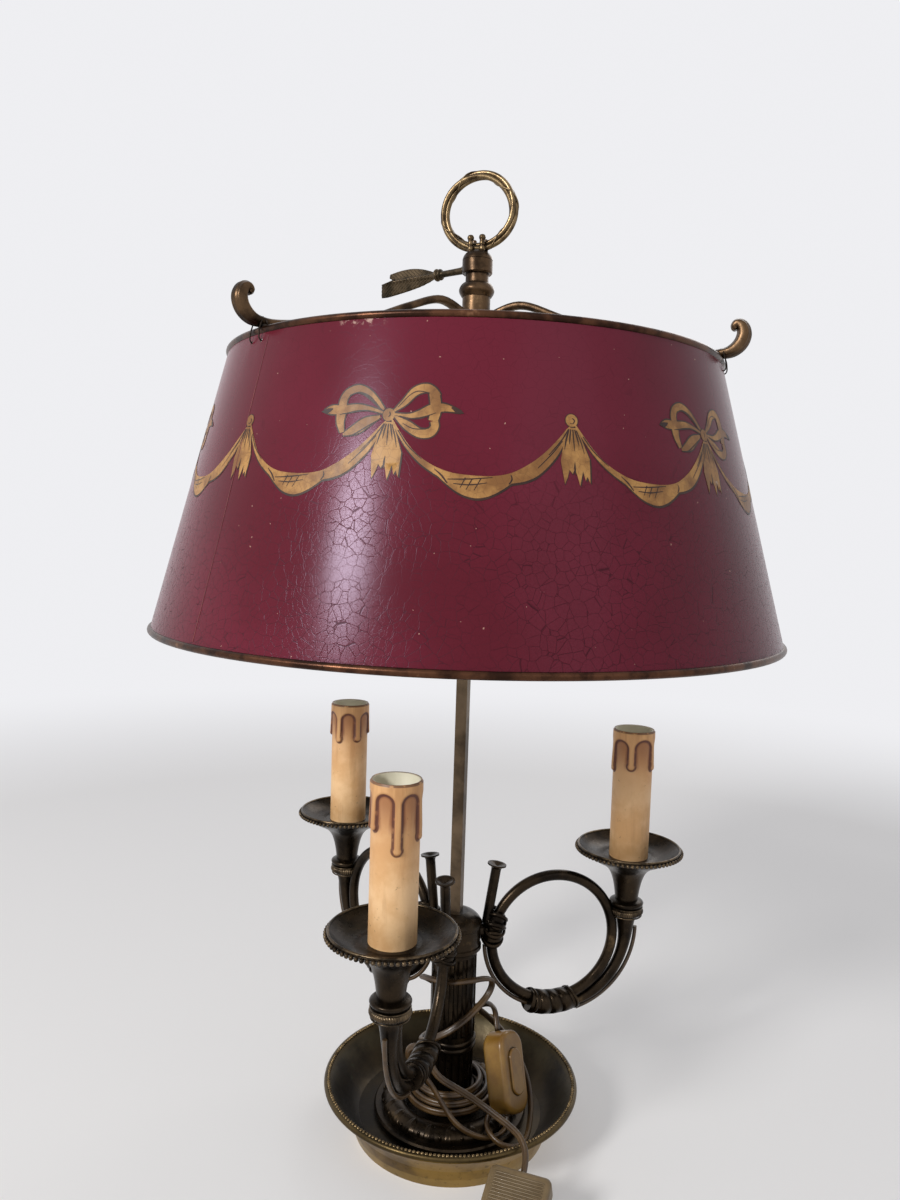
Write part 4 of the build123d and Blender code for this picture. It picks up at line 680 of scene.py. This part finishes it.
TASSEL = (
    (-2, -3.2), (2.4, -3.2), (4.6, -9), (7.6, -17.3), (7.5, -21.5), (7.1, -28.6), (6, -25.5), (5, -27.4),
    (4, -22.9), (3.2, -26), (2.2, -29.8), (1.2, -25.4), (0.2, -22.1), (-1, -24.4), (-2.4, -22.6),
    (-3.4, -26.2), (-4.8, -29.2), (-5.4, -24.6), (-6.2, -18.7), (-4.6, -11),
)
TASSEL_LINES = (
    ((-1.6, -4, 0.7), (-3.2, -9, 0.8), (-4.2, -13.5, 0.2)),
    ((-0.7, -4, 0.6), (-1.4, -8, 0.7), (-1.7, -11, 0.2)),
    ((0.3, -4, 0.6), (0.4, -9, 0.6), (0.6, -14, 0.2)),
    ((1.2, -4, 0.6), (2.2, -8, 0.7), (2.9, -11.5, 0.2)),
    ((2, -4.4, 0.5), (4, -10, 0.6), (5.2, -15, 0.2)),
    ((0.4, -19, 0.2), (0.2, -22, 0.9), (0.4, -25, 0.2)),
)
# The swag's outline: share of the span, and millimetres below the line from knot to knot.
SWAG_TOP = (
    (0.02, -1.2), (0.055, -5.6), (0.122, -13.6), (0.19, -19.2), (0.27, -23.4), (0.35, -25.9), (0.432, -26.8),
    (0.5, -27.1), (0.567, -27), (0.63, -26.2), (0.69, -24.4), (0.803, -18.4), (0.91, -9.6), (0.985, -2),
)
SWAG_FOOT = (
    (0.99, -3.4), (0.972, -6.6), (0.921, -15.4), (0.844, -22.9), (0.79, -26.8), (0.73, -29), (0.678, -29.8),
    (0.66, -30), (0.635, -31.9), (0.568, -35.6), (0.501, -37.4), (0.44, -36.6), (0.384, -34.4),
    (0.328, -30.6), (0.29, -27.6), (0.272, -26.8), (0.186, -21.9), (0.109, -15), (0.05, -7.4), (0.012, -1.8),
)
SWAG_LINES = (
    ((0.34, -28.9, 0.4), (0.45, -28.6, 0.6), (0.567, -27.6, 0.3)),
    ((0.37, -30.8, 0.4), (0.45, -31.2, 0.6), (0.54, -30.1, 0.3)),
    ((0.405, -32.6, 0.3), (0.43, -28, 0.6)),
    ((0.435, -33.4, 0.3), (0.465, -28.4, 0.6)),
    ((0.475, -33.6, 0.3), (0.51, -28, 0.5)),
    ((0.27, -24.4, 0.3), (0.31, -27.4, 0.8), (0.34, -30.8, 0.5)),
    ((0.66, -26.2, 0.3), (0.665, -28.2, 0.7), (0.65, -30.4, 0.4)),
    ((0.06, -7, 0.5), (0.12, -13.9, 0.6), (0.2, -20, 0.3)),
    ((0.86, -16.4, 0.3), (0.93, -9.8, 0.6), (0.975, -4.2, 0.5)),
    ((0.8, -22.6, 0.3), (0.88, -15.6, 0.5), (0.94, -9.6, 0.3)),
)


def shade_face(height):
    """Reach of the shade's outer face at a height."""
    return SHADE_TOP_RADIUS + SHADE_FACE + (SHADE_TOP - height) * SHADE_LEAN


def lay_on_shade(mesh, flat, azimuth, height, lift):
    """Cut a flat shape, in millimetres, into narrow strips and lay it on the shade's cone."""
    low = min(corner.co.x for corner in flat.verts)
    high = max(corner.co.x for corner in flat.verts)
    cut = ceil(low / 4) * 4
    while cut < high:
        bmesh.ops.bisect_plane(
            flat, geom=flat.verts[:] + flat.edges[:] + flat.faces[:], plane_co=(cut, 0, 0), plane_no=(1, 0, 0))
        cut += 4
    for corner in flat.verts:
        up = height + corner.co.y * MM
        reach = shade_face(up)
        turn = azimuth + degrees(corner.co.x * MM / shade_face(height))
        corner.co = upright(turn, reach + lift, up)
    join_in(mesh, flat)


def flat_ribbon(stations, wider=0.0):
    """A flat ribbon through stations of (along, up, width)."""
    steps = 6 * (len(stations) - 1)
    rows = smooth_line(stations, steps)

    def place(across, along):
        before, here, after = rows_at(rows, along)
        run = Vector((after[0] - before[0], after[1] - before[1])).normalized()
        aside = (across - 0.5) * (max(here[2], 0.1) + wider)
        return Vector((here[0] - run.y * aside, here[1] + run.x * aside, 0))

    return outwards(sheet_of(1, steps, place))


def flat_patch(outline, smooth):
    """A flat filled shape from its outline."""
    filled = drawn_curve([(along, up, 0) for along, up in outline], 5, "NURBS" if smooth else "POLY", flat=True)
    patch = bmesh.new()
    patch.from_mesh(filled)
    bpy.data.meshes.remove(filled)
    return patch


def paint_festoon():
    layers = {name: bmesh.new() for name in PAINT_LAYERS}
    disc = [(3.0 * cos(a * pi / 6), 3.0 * sin(a * pi / 6) + 0.2) for a in range(12)]
    swag = [(share * SWAG_SPAN, up) for share, up in SWAG_TOP + SWAG_FOOT]
    swag_lines = [[(share * SWAG_SPAN, up, wide) for share, up, wide in line] for line in SWAG_LINES]

    def paint(layer, flat, azimuth):
        lay_on_shade(layers[layer], flat, azimuth, BOW_HEIGHT, PAINT_LAYERS[layer][1])

    def patch(outline, smooth, azimuth, grow, aside, up):
        """A gold patch over its shadow, which is grown and shifted."""
        shadow = [(x * grow[0] + aside, y * grow[1] + up) for x, y in outline]
        paint("shadow", flat_patch(shadow, smooth), azimuth)
        paint("gold", flat_patch(outline, smooth), azimuth)

    for step in range(MOTIFS):
        azimuth = BOW_AZIMUTH + 360 / MOTIFS * step
        bow = step % 2 == 0
        patch(TASSEL, False, azimuth, (1.06, 1.02), 0.3, -0.2)
        for ribbon in BOW_RIBBONS if bow else ():
            paint("shadow", flat_ribbon(ribbon, 1.4), azimuth)
            paint("gold", flat_ribbon(ribbon), azimuth)
        patch(disc, True, azimuth, (1.15, 1.15), 0.0, -0.1)
        patch(swag, True, azimuth, (1, 1), 0.2, -1.1)
        for line in [*TASSEL_LINES, *(BOW_LINES if bow else KNOT_LINES), *swag_lines]:
            paint("lines", flat_ribbon(line), azimuth)
    for layer, (finish, _) in PAINT_LAYERS.items():
        new_piece(f"festoon_{layer}", layers[layer], finish, "shade_carriage")


paint_festoon()

SEAM_AZIMUTH = -118.6
seam = bmesh.new()
lay_on_shade(seam, flat_ribbon(((0, -78, 0.5), (0.2, -30, 0.4), (-0.2, 10, 0.5), (0, 77, 0.4))),
             SEAM_AZIMUTH, SHADE_BOTTOM + 0.081, 0.00012)
new_piece("shade_seam", seam, "seam_line", "shade_carriage")


# ---- beaded edges
def bead_ring(centre, reach, height, radius, count):
    """Small beads side by side round an upright axis."""
    beads = bmesh.new()
    for step in range(count):
        spot = Matrix.Translation(centre + polar(reach, 2 * pi * step / count, height))
        bmesh.ops.create_icosphere(beads, subdivisions=1, radius=radius, matrix=spot)
    return beads


# The lip's beads, in the paler brass that paints their highlights.
dish_beads = bead_ring(Vector((0, 0, 0)), reach=0.0802, height=0.0318, radius=0.0013, count=204)
dish_beads = new_piece("dish_beads", dish_beads, "highlit_beads", "stand")
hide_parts("dish_bead_ring")

for place, azimuth in ARMS.items():
    foot = upright(azimuth, CANDLE_REACH, 0)
    rim = bead_ring(foot, CUP_RIM_RADIUS + 0.0006, CUP_RIM_HEIGHT - 0.0017, radius=0.00145, count=72)
    new_piece(f"cup_beads_{place}", rim, "highlit_bronze", "stand")


# ---- bindings, bands and rims
WRAP_REACH, WRAP_RADIUS = 0.0452, 0.0074
# The ribbon wound under the loop: turn in degrees, width and rise.
WRAP_BANDS = (
    (-108, 0.0024, 0.0006), (-99.5, 0.0088, 0.0004), (-90, 0.0088, 0.0004), (-80.5, 0.0088, 0.0004),
    (-72, 0.0024, 0.0006),
)
# The crossed knot: turn in degrees, radius, and lean in degrees each way.
KNOT_BANDS = ((159, 0.0068, 32), (167, 0.0076, 28), (175, 0.0070, 32))
COLLAR_FOOT, COLLAR_HEIGHT = 0.1342, 0.0048
COLLAR_TEETH = 48
COLLAR_REACH, COLLAR_SWELL, TOOTH_DEPTH = 0.0098, 0.0013, 0.0006
# The thin rings above and below the teeth: height and reach.
COLLAR_RINGS = ((0.1392, 0.0108), (0.1338, 0.0104))


def round_ring(centre, reach, thick, steps):
    """A ring of round section round an upright axis."""
    def place(angle, along):
        edge = step_angle(along, 8)
        return centre + polar(reach + thick * cos(edge), angle, thick * sin(edge))

    return shell_of(steps, 8, place)


def slanted_band(azimuth, path_reach, turn, radius, width, lean, rise):
    """A cast ribbon that crosses a loop's pipe aslant, turn degrees round the loop."""
    def place(around, along):
        edge = step_angle(along, 6)
        reach = radius + rise * cos(edge)
        offset = width / 2 * sin(edge) + tan(radians(lean)) * radius * sin(around)
        angle = radians(turn) + offset / path_reach
        out = path_reach + reach * cos(around)
        return upright(azimuth, LOOP_CENTRE_REACH + out * cos(angle),
                       LOOP_CENTRE_HEIGHT + out * sin(angle), reach * sin(around))

    return shell_of(28, 6, place)


def pipe_bindings(place, azimuth):
    """The ribbon wound round the pipes at the loop's foot, and the crossed knot at its inner side."""
    bands = bmesh.new()
    for turn, width, rise in WRAP_BANDS:
        join_in(bands, slanted_band(azimuth, WRAP_REACH, turn, WRAP_RADIUS, width, 20, rise))
    for turn, radius, lean in KNOT_BANDS:
        for way in (lean, -lean):
            join_in(bands, slanted_band(azimuth, 0.0428, turn, radius, 0.003, way, 0.001))
    new_piece(f"pipe_binding_{place}", bands, "dark_bronze", "stand")


def knurled_collar(place, azimuth):
    """Oblique teeth round the bell collar's lower bulge, and a thin ring above and below them."""
    foot = upright(azimuth, CANDLE_REACH, 0)

    def put(angle, along):
        tooth = abs(cos(COLLAR_TEETH / 2 * angle + 1.4 * along))
        swell = sin(pi * along)
        reach = COLLAR_REACH + COLLAR_SWELL * swell ** 0.6 + TOOTH_DEPTH * tooth * swell
        return foot + polar(reach, angle, COLLAR_FOOT + COLLAR_HEIGHT * along)

    collar = shell_of(288, 8, put)
    for up, reach in COLLAR_RINGS:
        join_in(collar, round_ring(foot + Vector((0, 0, up)), reach, 0.0005, steps=48))
    new_piece(f"knurled_collar_{place}", collar, "highlit_bronze", "stand")


for place, azimuth in ARMS.items():
    pipe_bindings(place, azimuth)
    knurled_collar(place, azimuth)
    rim_centre = upright(azimuth, CANDLE_REACH, CUP_RIM_HEIGHT + 0.0002)
    cup_rim = round_ring(rim_centre, CUP_RIM_RADIUS - 0.0006, 0.0008, steps=120)
    new_piece(f"cup_rim_{place}", cup_rim, "highlit_bronze", "stand")


# ---- the leaf frieze of the column's foot
FRIEZE_PROFILE = ((45, 13.5), (44.8, 15.8), (43.4, 17.9), (40.8, 19.7), (37.75, 20.5), (34.2, 19.6))
FRIEZE_LEAVES = 20
LEAF_HALF = 4.8               # millimetres from a leaf's rib to its side
LEAF_STEPS = 14


def frieze_leaf(leaf):
    """One raised leaf: wide and round at the foot, narrow at the top, with a rib and veins."""
    rows = smooth_line(FRIEZE_PROFILE, LEAF_STEPS)
    middle = 360 / FRIEZE_LEAVES * leaf

    def place(across, along):
        before, (out, up), after = rows_at(rows, along)
        lean = Vector((after[1] - before[1], before[0] - after[0])).normalized()
        side = 2 * across - 1
        half = LEAF_HALF * sin(pi * min(1, 0.16 + 0.84 * along)) ** 0.7 * (1 - 0.35 * along)
        vein = 0.16 * abs(sin(9 * along + 5 * abs(side)))
        rise = 0.6 * sqrt(max(0.0, 1 - side ** 2)) + 0.35 * exp(-(side / 0.16) ** 2) - vein
        rise = rise * sin(pi * along) ** 0.35 - 0.15
        return upright(middle + degrees(side * half / out), (out + rise * lean.x) * MM, (up + rise * lean.y) * MM)

    return sheet_of(10, LEAF_STEPS, place)


def seed_between(leaf):
    """A small bud on the frieze between two leaves."""
    bud = bmesh.new()
    middle = 360 / FRIEZE_LEAVES * (leaf + 0.5)
    shape = Matrix.Translation(upright(middle, 0.0441, 0.0163)) @ Matrix.Rotation(radians(middle), 4, "Z")
    shape = shape @ Matrix.Diagonal((0.0009, 0.0014, 0.0022, 1))
    bmesh.ops.create_icosphere(bud, subdivisions=2, radius=1, matrix=shape)
    return bud


frieze = bmesh.new()
for leaf in range(FRIEZE_LEAVES):
    join_in(frieze, frieze_leaf(leaf))
    join_in(frieze, seed_between(leaf))
new_piece("leaf_frieze", outwards(frieze), "dark_bronze", "stand")


# ---- the ring handle
RING_HEIGHT = 0.587
RING_RADIUS = 0.02165
# One claw's outline in millimetres: how thick it is at each height.
CLAW_OUTLINE = (
    (0.2, 562.4), (1.75, 562.6), (1.85, 564.6), (1.35, 565.4), (1.8, 566.2), (1.7, 567.8), (1.45, 568.6),
    (2, 569.6), (2.1, 570.6), (1.5, 571.8), (0.05, 572.2),
)
CLAW_AHEAD, CLAW_ASIDE = -0.00407, 0.0037


def twisted_reed(offset, thick, twists, start):
    """One reed twisted round the ring's middle line."""
    def place(turn, along):
        edge = step_angle(along, 8)
        lay = twists * turn + start
        out = RING_RADIUS + offset * cos(lay) + thick * cos(edge)
        aside = offset * sin(lay) + thick * sin(edge)
        return Vector((out * cos(turn), aside, RING_HEIGHT + out * sin(turn)))

    return shell_of(144, 8, place)


ring = bmesh.new()
for reed in range(3):
    join_in(ring, twisted_reed(offset=0.00155, thick=0.00165, twists=1, start=2 * pi * reed / 3 + 0.5))
join_in(ring, twisted_reed(offset=0.0029, thick=0.00048, twists=-4, start=0.6))
ring = new_piece("twisted_ring", ring, "ring_brass", "stand")
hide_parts("ring_handle")


def ring_claws():
    """The two turned claws in front of the ring."""
    outline = smooth_line(CLAW_OUTLINE, 30)
    claws = bmesh.new()
    for aside in (CLAW_ASIDE, -CLAW_ASIDE):
        def claw(angle, along):
            thick, up = row_at(outline, along)
            return Vector((aside, CLAW_AHEAD, 0)) + polar(thick * MM, angle, up * MM)

        join_in(claws, capped(shell_of(14, 30, claw)))
    new_piece("ring_claws", claws, "ring_brass", "stand")


ring_claws()


# ---- the scroll arms and their ties
# Reach, height, width and thickness in millimetres, and how deep the flutes run.
SCROLL_STATIONS = (
    (7.6, 522.5, 6, 4.8, 0), (28, 529, 6, 4.7, 0), (52, 521, 5.7, 4.4, 0), (76, 510.6, 5.6, 4.3, 0),
    (100, 503.6, 5.6, 4.2, 0), (124, 498.8, 6, 4, 0.1), (140, 496, 7.4, 4.3, 0.7), (149, 495.8, 8.8, 5.6, 1.2),
    (154.6, 497.4, 9.8, 7.2, 1.7), (158.6, 501.2, 9.8, 8.2, 1.9), (160.2, 506.2, 9.6, 8.2, 1.9),
    (158.9, 510.4, 9.2, 7.2, 1.7), (156.4, 511.8, 8.6, 6, 1.3), (154.9, 510.4, 8, 4.8, 0.9),
    (155.8, 509, 7, 3.2, 0.5),
)
SCROLL_AZIMUTHS = {"right": -3.0, "left": -123.0, "back": 117.0}


def scroll_arm(place, azimuth):
    rows = smooth_line(SCROLL_STATIONS, 98)
    line = [upright(azimuth, row[0] * MM, row[1] * MM) for row in rows]

    def section(angle, along):
        wide, thick, flutes = (value * MM for value in row_at(rows, along)[2:])
        out = copysign(abs(cos(angle)) ** 0.7, cos(angle))
        over = copysign(abs(sin(angle)) ** 0.75, sin(angle))
        groove = 0.5 - 0.5 * cos(3 * pi * (out + 1))
        return wide / 2 * out, (thick / 2 - 0.42 * flutes * groove) * over

    arm = sweep(line, 32, section, upright(azimuth, 0, 0, 1))
    arm = new_piece(f"scroll_{place}", arm, "hub_brass", "shade_carriage")
    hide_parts(f"scroll_arm_{place}")


# A tie's way in millimetres: reach, aside and height, from one hole over the arm to the other.
TIE_WAY = (
    (148.9, 5.1, 485.3), (150.4, 5.1, 485.2), (151.5, 4.9, 486.8), (151.2, 4.5, 490.8), (150.4, 4.5, 493.4),
    (149.8, 4.5, 495.6), (149.1, 2.4, 497.7), (148.4, 0, 498), (147.7, -2.4, 497.7), (147, -4.5, 495.4),
    (146.3, -4.6, 493.2), (145.7, -4.7, 490.8), (146.6, -5, 487.6), (148.2, -5.1, 485.6), (149.8, -5.1, 485.2),
)
TIE_RADIUS = 0.0004


def wire_section(angle, along):
    return TIE_RADIUS * cos(angle), TIE_RADIUS * sin(angle)


def tie_wires():
    ties = bmesh.new()
    for azimuth in SCROLL_AZIMUTHS.values():
        for side in (1, -1):
            way = [(out, side * aside, up) for out, aside, up in TIE_WAY]
            line = [upright(azimuth, out * MM, up * MM, aside * MM) for out, aside, up in smooth_line(way, 56)]
            join_in(ties, sweep(line, 6, wire_section, Vector((0.3, 0.2, 1))))
    ties = new_piece("shade_ties", ties, "tie_wire", "shade_carriage")
    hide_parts("tie_wires")


for place, azimuth in SCROLL_AZIMUTHS.items():
    scroll_arm(place, azimuth)
tie_wires()


# ---- the arrow key
KEY_AZIMUTH = 160.0
KEY_HEIGHT = 0.5532
KEY_SHANK = (
    (3.9, 1.5), (9.8, 1.5), (9.9, 2.6), (10.7, 2.8), (11.5, 2.2), (24, 2), (27.4, 2.2), (28.1, 3.2), (29, 3.5),
    (29.8, 2.7), (30.6, 3.5), (31.5, 3.9), (32.4, 3.5), (33.2, 2.5), (36, 2.1), (48, 1.7), (64, 1.3), (73, 0.8),
)
# The vane's two edges and the ribs of its quill, in millimetres: reach, lowest and highest point.
KEY_VANE = (
    (32.5, -1.5, 1.5), (37, -3.2, 3.4), (44, -5.2, 5.6), (52, -6.6, 7), (60, -7.6, 7.2), (67, -8.3, 6.6),
    (73, -8.8, 5.4), (78.3, -8.6, 2.2),
)


def key_place(reach, up, aside=0.0):
    return upright(KEY_AZIMUTH, reach * MM, KEY_HEIGHT + up * MM, aside * MM)


def arrow_key():
    rows = smooth_line(KEY_SHANK, 85)

    def shank(angle, along):
        out, thick = row_at(rows, along)
        return key_place(out, thick * cos(angle), thick * sin(angle))

    key = capped(shell_of(20, 85, shank))
    outline = smooth_line(KEY_VANE, 120)

    def vane(across, along):
        # Across runs round the vane: its left face up, and its right face down again.
        out, low, high = row_at(outline, along)
        face = 1 if across < 0.5 else -1
        share = 2 * across if across < 0.5 else 2 - 2 * across
        up = low + (high - low) * share
        depth = max(0.0, sin(pi * share)) ** 0.25
        barb = 0.3 * sin(2.1 * out - 2.6 * abs(up - 0.4)) + 0.9 * exp(-((up - 0.4) / 0.9) ** 2)
        tip = max(0.0, min(1.0, (78.8 - out) / 5))
        # The two lobes part behind a notch, and the upper one ends first.
        notch = max(0.0, 1 - abs(up - 1.6) / 1.5) * 10 * max(0.0, along - 0.74) / 0.26
        reach = out - notch
        if up > 1.6:
            reach -= 7.5 * max(0.0, along - 0.8) / 0.2
        thick = (0.45 + 0.7 * depth + barb * depth) * (0.4 + 0.6 * tip)
        return key_place(reach, up, face * thick * (1 if 0 < share < 1 else 0))

    join_in(key, capped(close_up(sheet_of(72, 120, vane))))
    key = new_piece("arrow_key_vane", key, "key_brass", "clamp_key")
    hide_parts("arrow_key")


arrow_key()


# ---- the plug's ribs
PLUG_ENTRY = Vector((0.0653, -0.0726, 0.0276))
PLUG_ALONG = Vector((-0.0474, -0.905, -0.4226))
PLUG_SIDE = Vector((0.9986, -0.0523, 0))
PLUG_OUT = Vector((-0.022, -0.422, 0.906))
# The ribs on one face, in millimetres: the first one's distance from the flex, their spacing and
# their height over the plug's middle, then the points along each and how full it is there.
RIBS, RIB_START, RIB_SPACING, RIB_LIFT = 17, 4.6, 1.8, 6.45
RIB_ASIDE = (-14.5, -13.8, -7, 0, 7, 13.8, 14.5)
RIB_SWELL = (0.3, 1, 1, 1, 1, 1, 0.3)
RIB_RADIUS = 0.55


def rib_section(angle, along):
    size = RIB_RADIUS * MM * row_at(RIB_SWELL, along)
    return size * cos(angle), size * sin(angle)


def plug_ribs():
    """Fine grip ribs across both faces of the plug."""
    ribs = bmesh.new()
    for face in (1, -1):
        for step in range(RIBS):
            start = PLUG_ENTRY + PLUG_ALONG * (RIB_START + RIB_SPACING * step) * MM + PLUG_OUT * face * RIB_LIFT * MM
            line = [start + PLUG_SIDE * (aside * MM) for aside in RIB_ASIDE]
            join_in(ribs, sweep(line, 6, rib_section, PLUG_OUT))
    new_piece("plug_ribs", ribs, "plug_khaki", "stand")


plug_ribs()


# ---- candles
CANDLE_FLARE = 0.00027        # how much wider the sleeve is at its rim than 12 mm lower
CANDLE_WALL = 0.0011
COAT_LEAST = 0.0006           # the wax coat's thickness at the rim, and what it gains lower down
COAT_GAIN = 0.0009
EDGE_FALL = 1.1               # millimetres over which the coat's edge falls away
OFF_COAT = 3.0                # the drip_edge value where no wax is near
ARCH_TOP = 5.2                # millimetres from the rim down to the round tops between the drips
# Where each drip hangs: azimuth, length and half width in millimetres.
DRIPS = {
    "front": ((-126, 25, 1.9), (-65, 36, 1.85), (-4, 30, 1.9), (60, 27, 1.9), (120, 33, 1.9), (180, 28, 2.0)),
    "right": ((-155, 28, 1.9), (-89, 25, 1.9), (-18, 26, 2.0), (40, 31, 1.9), (98, 24, 1.9), (150, 33, 1.9)),
    "left": ((-165, 24, 1.9), (-103, 27, 1.9), (-42, 26, 1.9), (18, 22, 1.9), (77, 32, 1.9), (137, 26, 1.9)),
}


def drip_distance(around, down, drips):
    """Millimetres from the edge of the wax coat, less than 0 on it."""
    girth = 2 * pi * CANDLE_RADIUS / MM
    away = inf
    for index, (azimuth, length, half) in enumerate(drips):
        share = azimuth / 360
        after, _, next_half = drips[(index + 1) % len(drips)]
        aside = abs((around - share + 0.5) % 1 - 0.5) * girth
        away = min(away, hypot(aside, max(down - (length - half), 0)) - half)
        bulb = half * 1.22
        away = min(away, hypot(aside, down - (length - bulb)) - bulb)
        gap = (after / 360 - share) % 1
        past = (around - share) % 1
        if past < gap:
            hollow = gap * girth / 2 - (half + next_half) / 2
            middle = (past - gap / 2) * girth
            top = ARCH_TOP + 0.5 * sin(7 * azimuth)
            if down < top + hollow:
                return hollow - hypot(middle, top + hollow - down)
    return away


def candle(place, azimuth):
    foot = upright(azimuth, CANDLE_REACH, 0)
    height = CANDLE_TOP - CUP_FLOOR
    # Rows run from the foot up the outside, over the rim and down the bore.
    outside = [0.0, 0.12, 0.25, 0.38, 0.48] + [0.5 + 0.5 * step / 62 for step in range(63)]
    rows = [(share, "out") for share in outside] + [(1.0, "rim")] + [(1.0, "in"), (0.6, "in"), (0.0, "in")]
    columns = 168
    edge, bore = {}, {}

    def put(across, along):
        share, side = row_at(rows, along)
        around = (round(across * columns) % columns) / columns
        up = CUP_FLOOR + height * share
        down = (CANDLE_TOP - up) / MM
        reach = CANDLE_RADIUS - CANDLE_WALL
        away = drip_distance(around, down, DRIPS[place])
        if side == "out":
            flare = CANDLE_FLARE * max(0.0, 1 - down / 12)
            coat = max(0.0, min(1.0, 0.5 - away / EDGE_FALL))
            thick = COAT_LEAST + COAT_GAIN * min(1.0, down / 22)
            reach = CANDLE_RADIUS + flare + thick * coat * coat * (3 - 2 * coat)
            if share == 1.0:
                reach -= 0.0007
        if side == "rim":
            reach = CANDLE_RADIUS + 0.0002
            up += 0.0004
        spot = foot + polar(reach, around * 2 * pi, up)
        key = tuple(round(v, 6) for v in spot)
        edge[key] = away if side == "out" else OFF_COAT
        bore[key] = 1.0 if side == "in" else 0.0
        return spot

    mesh = close_up(sheet_of(columns, len(rows) - 1, put))
    piece = new_piece(f"candle_{place}_wax", mesh, "aged_wax", f"candle_{place}")
    for name, table in (("drip_edge", edge), ("bore", bore)):
        values = piece.data.attributes.new(name, "FLOAT", "POINT")
        for vertex in piece.data.vertices:
            values.data[vertex.index].value = table.get(tuple(round(v, 6) for v in vertex.co), OFF_COAT)
    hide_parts(f"candle_sleeve_{place}")


for place, azimuth in ARMS.items():
    candle(place, azimuth)


# ---- stage
STAGE_WHITE = (0.86, 0.86, 0.885)


def stage_light():
    """Pale ground and sky, seen and reflected; a softer level lights the lamp."""
    world = bpy.data.worlds.new("studio")
    bpy.context.scene.world = world
    world.use_nodes = True
    tree = world.node_tree
    ground = tree.nodes["Background"]
    rays = tree.nodes.new("ShaderNodeLightPath")
    far = calc("MAXIMUM", rays.outputs["Is Glossy Ray"], rays.outputs["Is Transmission Ray"])
    seen = calc("MAXIMUM", rays.outputs["Is Camera Ray"], far)
    feed(ground.inputs["Color"], tint(seen, (0.28, 0.28, 0.29), STAGE_WHITE))
    ground.inputs["Strength"].default_value = 1.0


stage_light()


def floor_finish():
    """Pale near the lamp, and as pale as the sky far away, so that no edge shows."""
    tree, shader = new_finish("pale_floor")
    length = add_node(tree, "VectorMath", {0: surface_place(tree)}, operation="LENGTH")
    far = calc("MAXIMUM", fade(length.outputs["Value"], 0.4, 1.7), 0.3)
    feed(shader.inputs["Base Color"], (0.87, 0.85, 0.83))
    feed(shader.inputs["Roughness"], 0.8)
    glow = add_node(tree, "Emission", {"Color": STAGE_WHITE})
    mix = add_node(tree, "MixShader", {0: far, 1: shader.outputs[0], 2: glow.outputs[0]})
    feed(tree.nodes["Material Output"].inputs["Surface"], mix.outputs[0])


floor_finish()
FLOOR_WIDTH = 12
floor_mesh = sheet_of(1, 1, lambda across, along: Vector((across - 0.5, along - 0.5, 0)) * FLOOR_WIDTH)
floor = mesh_object("floor", floor_mesh, "pale_floor")


def soft_lamp(name, place, target, size, power):
    data = bpy.data.lights.new(name, "AREA")
    data.shape = "DISK"
    data.size = size
    data.energy = power
    lamp = add_object(name, data)
    lamp.location = place
    lamp.rotation_mode = "QUATERNION"
    lamp.rotation_quaternion = (Vector(target) - Vector(place)).to_track_quat("-Z", "Y")


soft_lamp("window", (-0.98, -1.92, 1.36), (0, 0, 0.25), size=0.55, power=44)
soft_lamp("fill", (1.6, -1.3, 1.5), (0, 0, 0.25), size=1.4, power=2.5)
soft_lamp("back", (0.4, 1.8, 1.6), (0, 0, 0.3), size=1.2, power=8)

bpy.context.scene.view_settings.view_transform = "Standard"
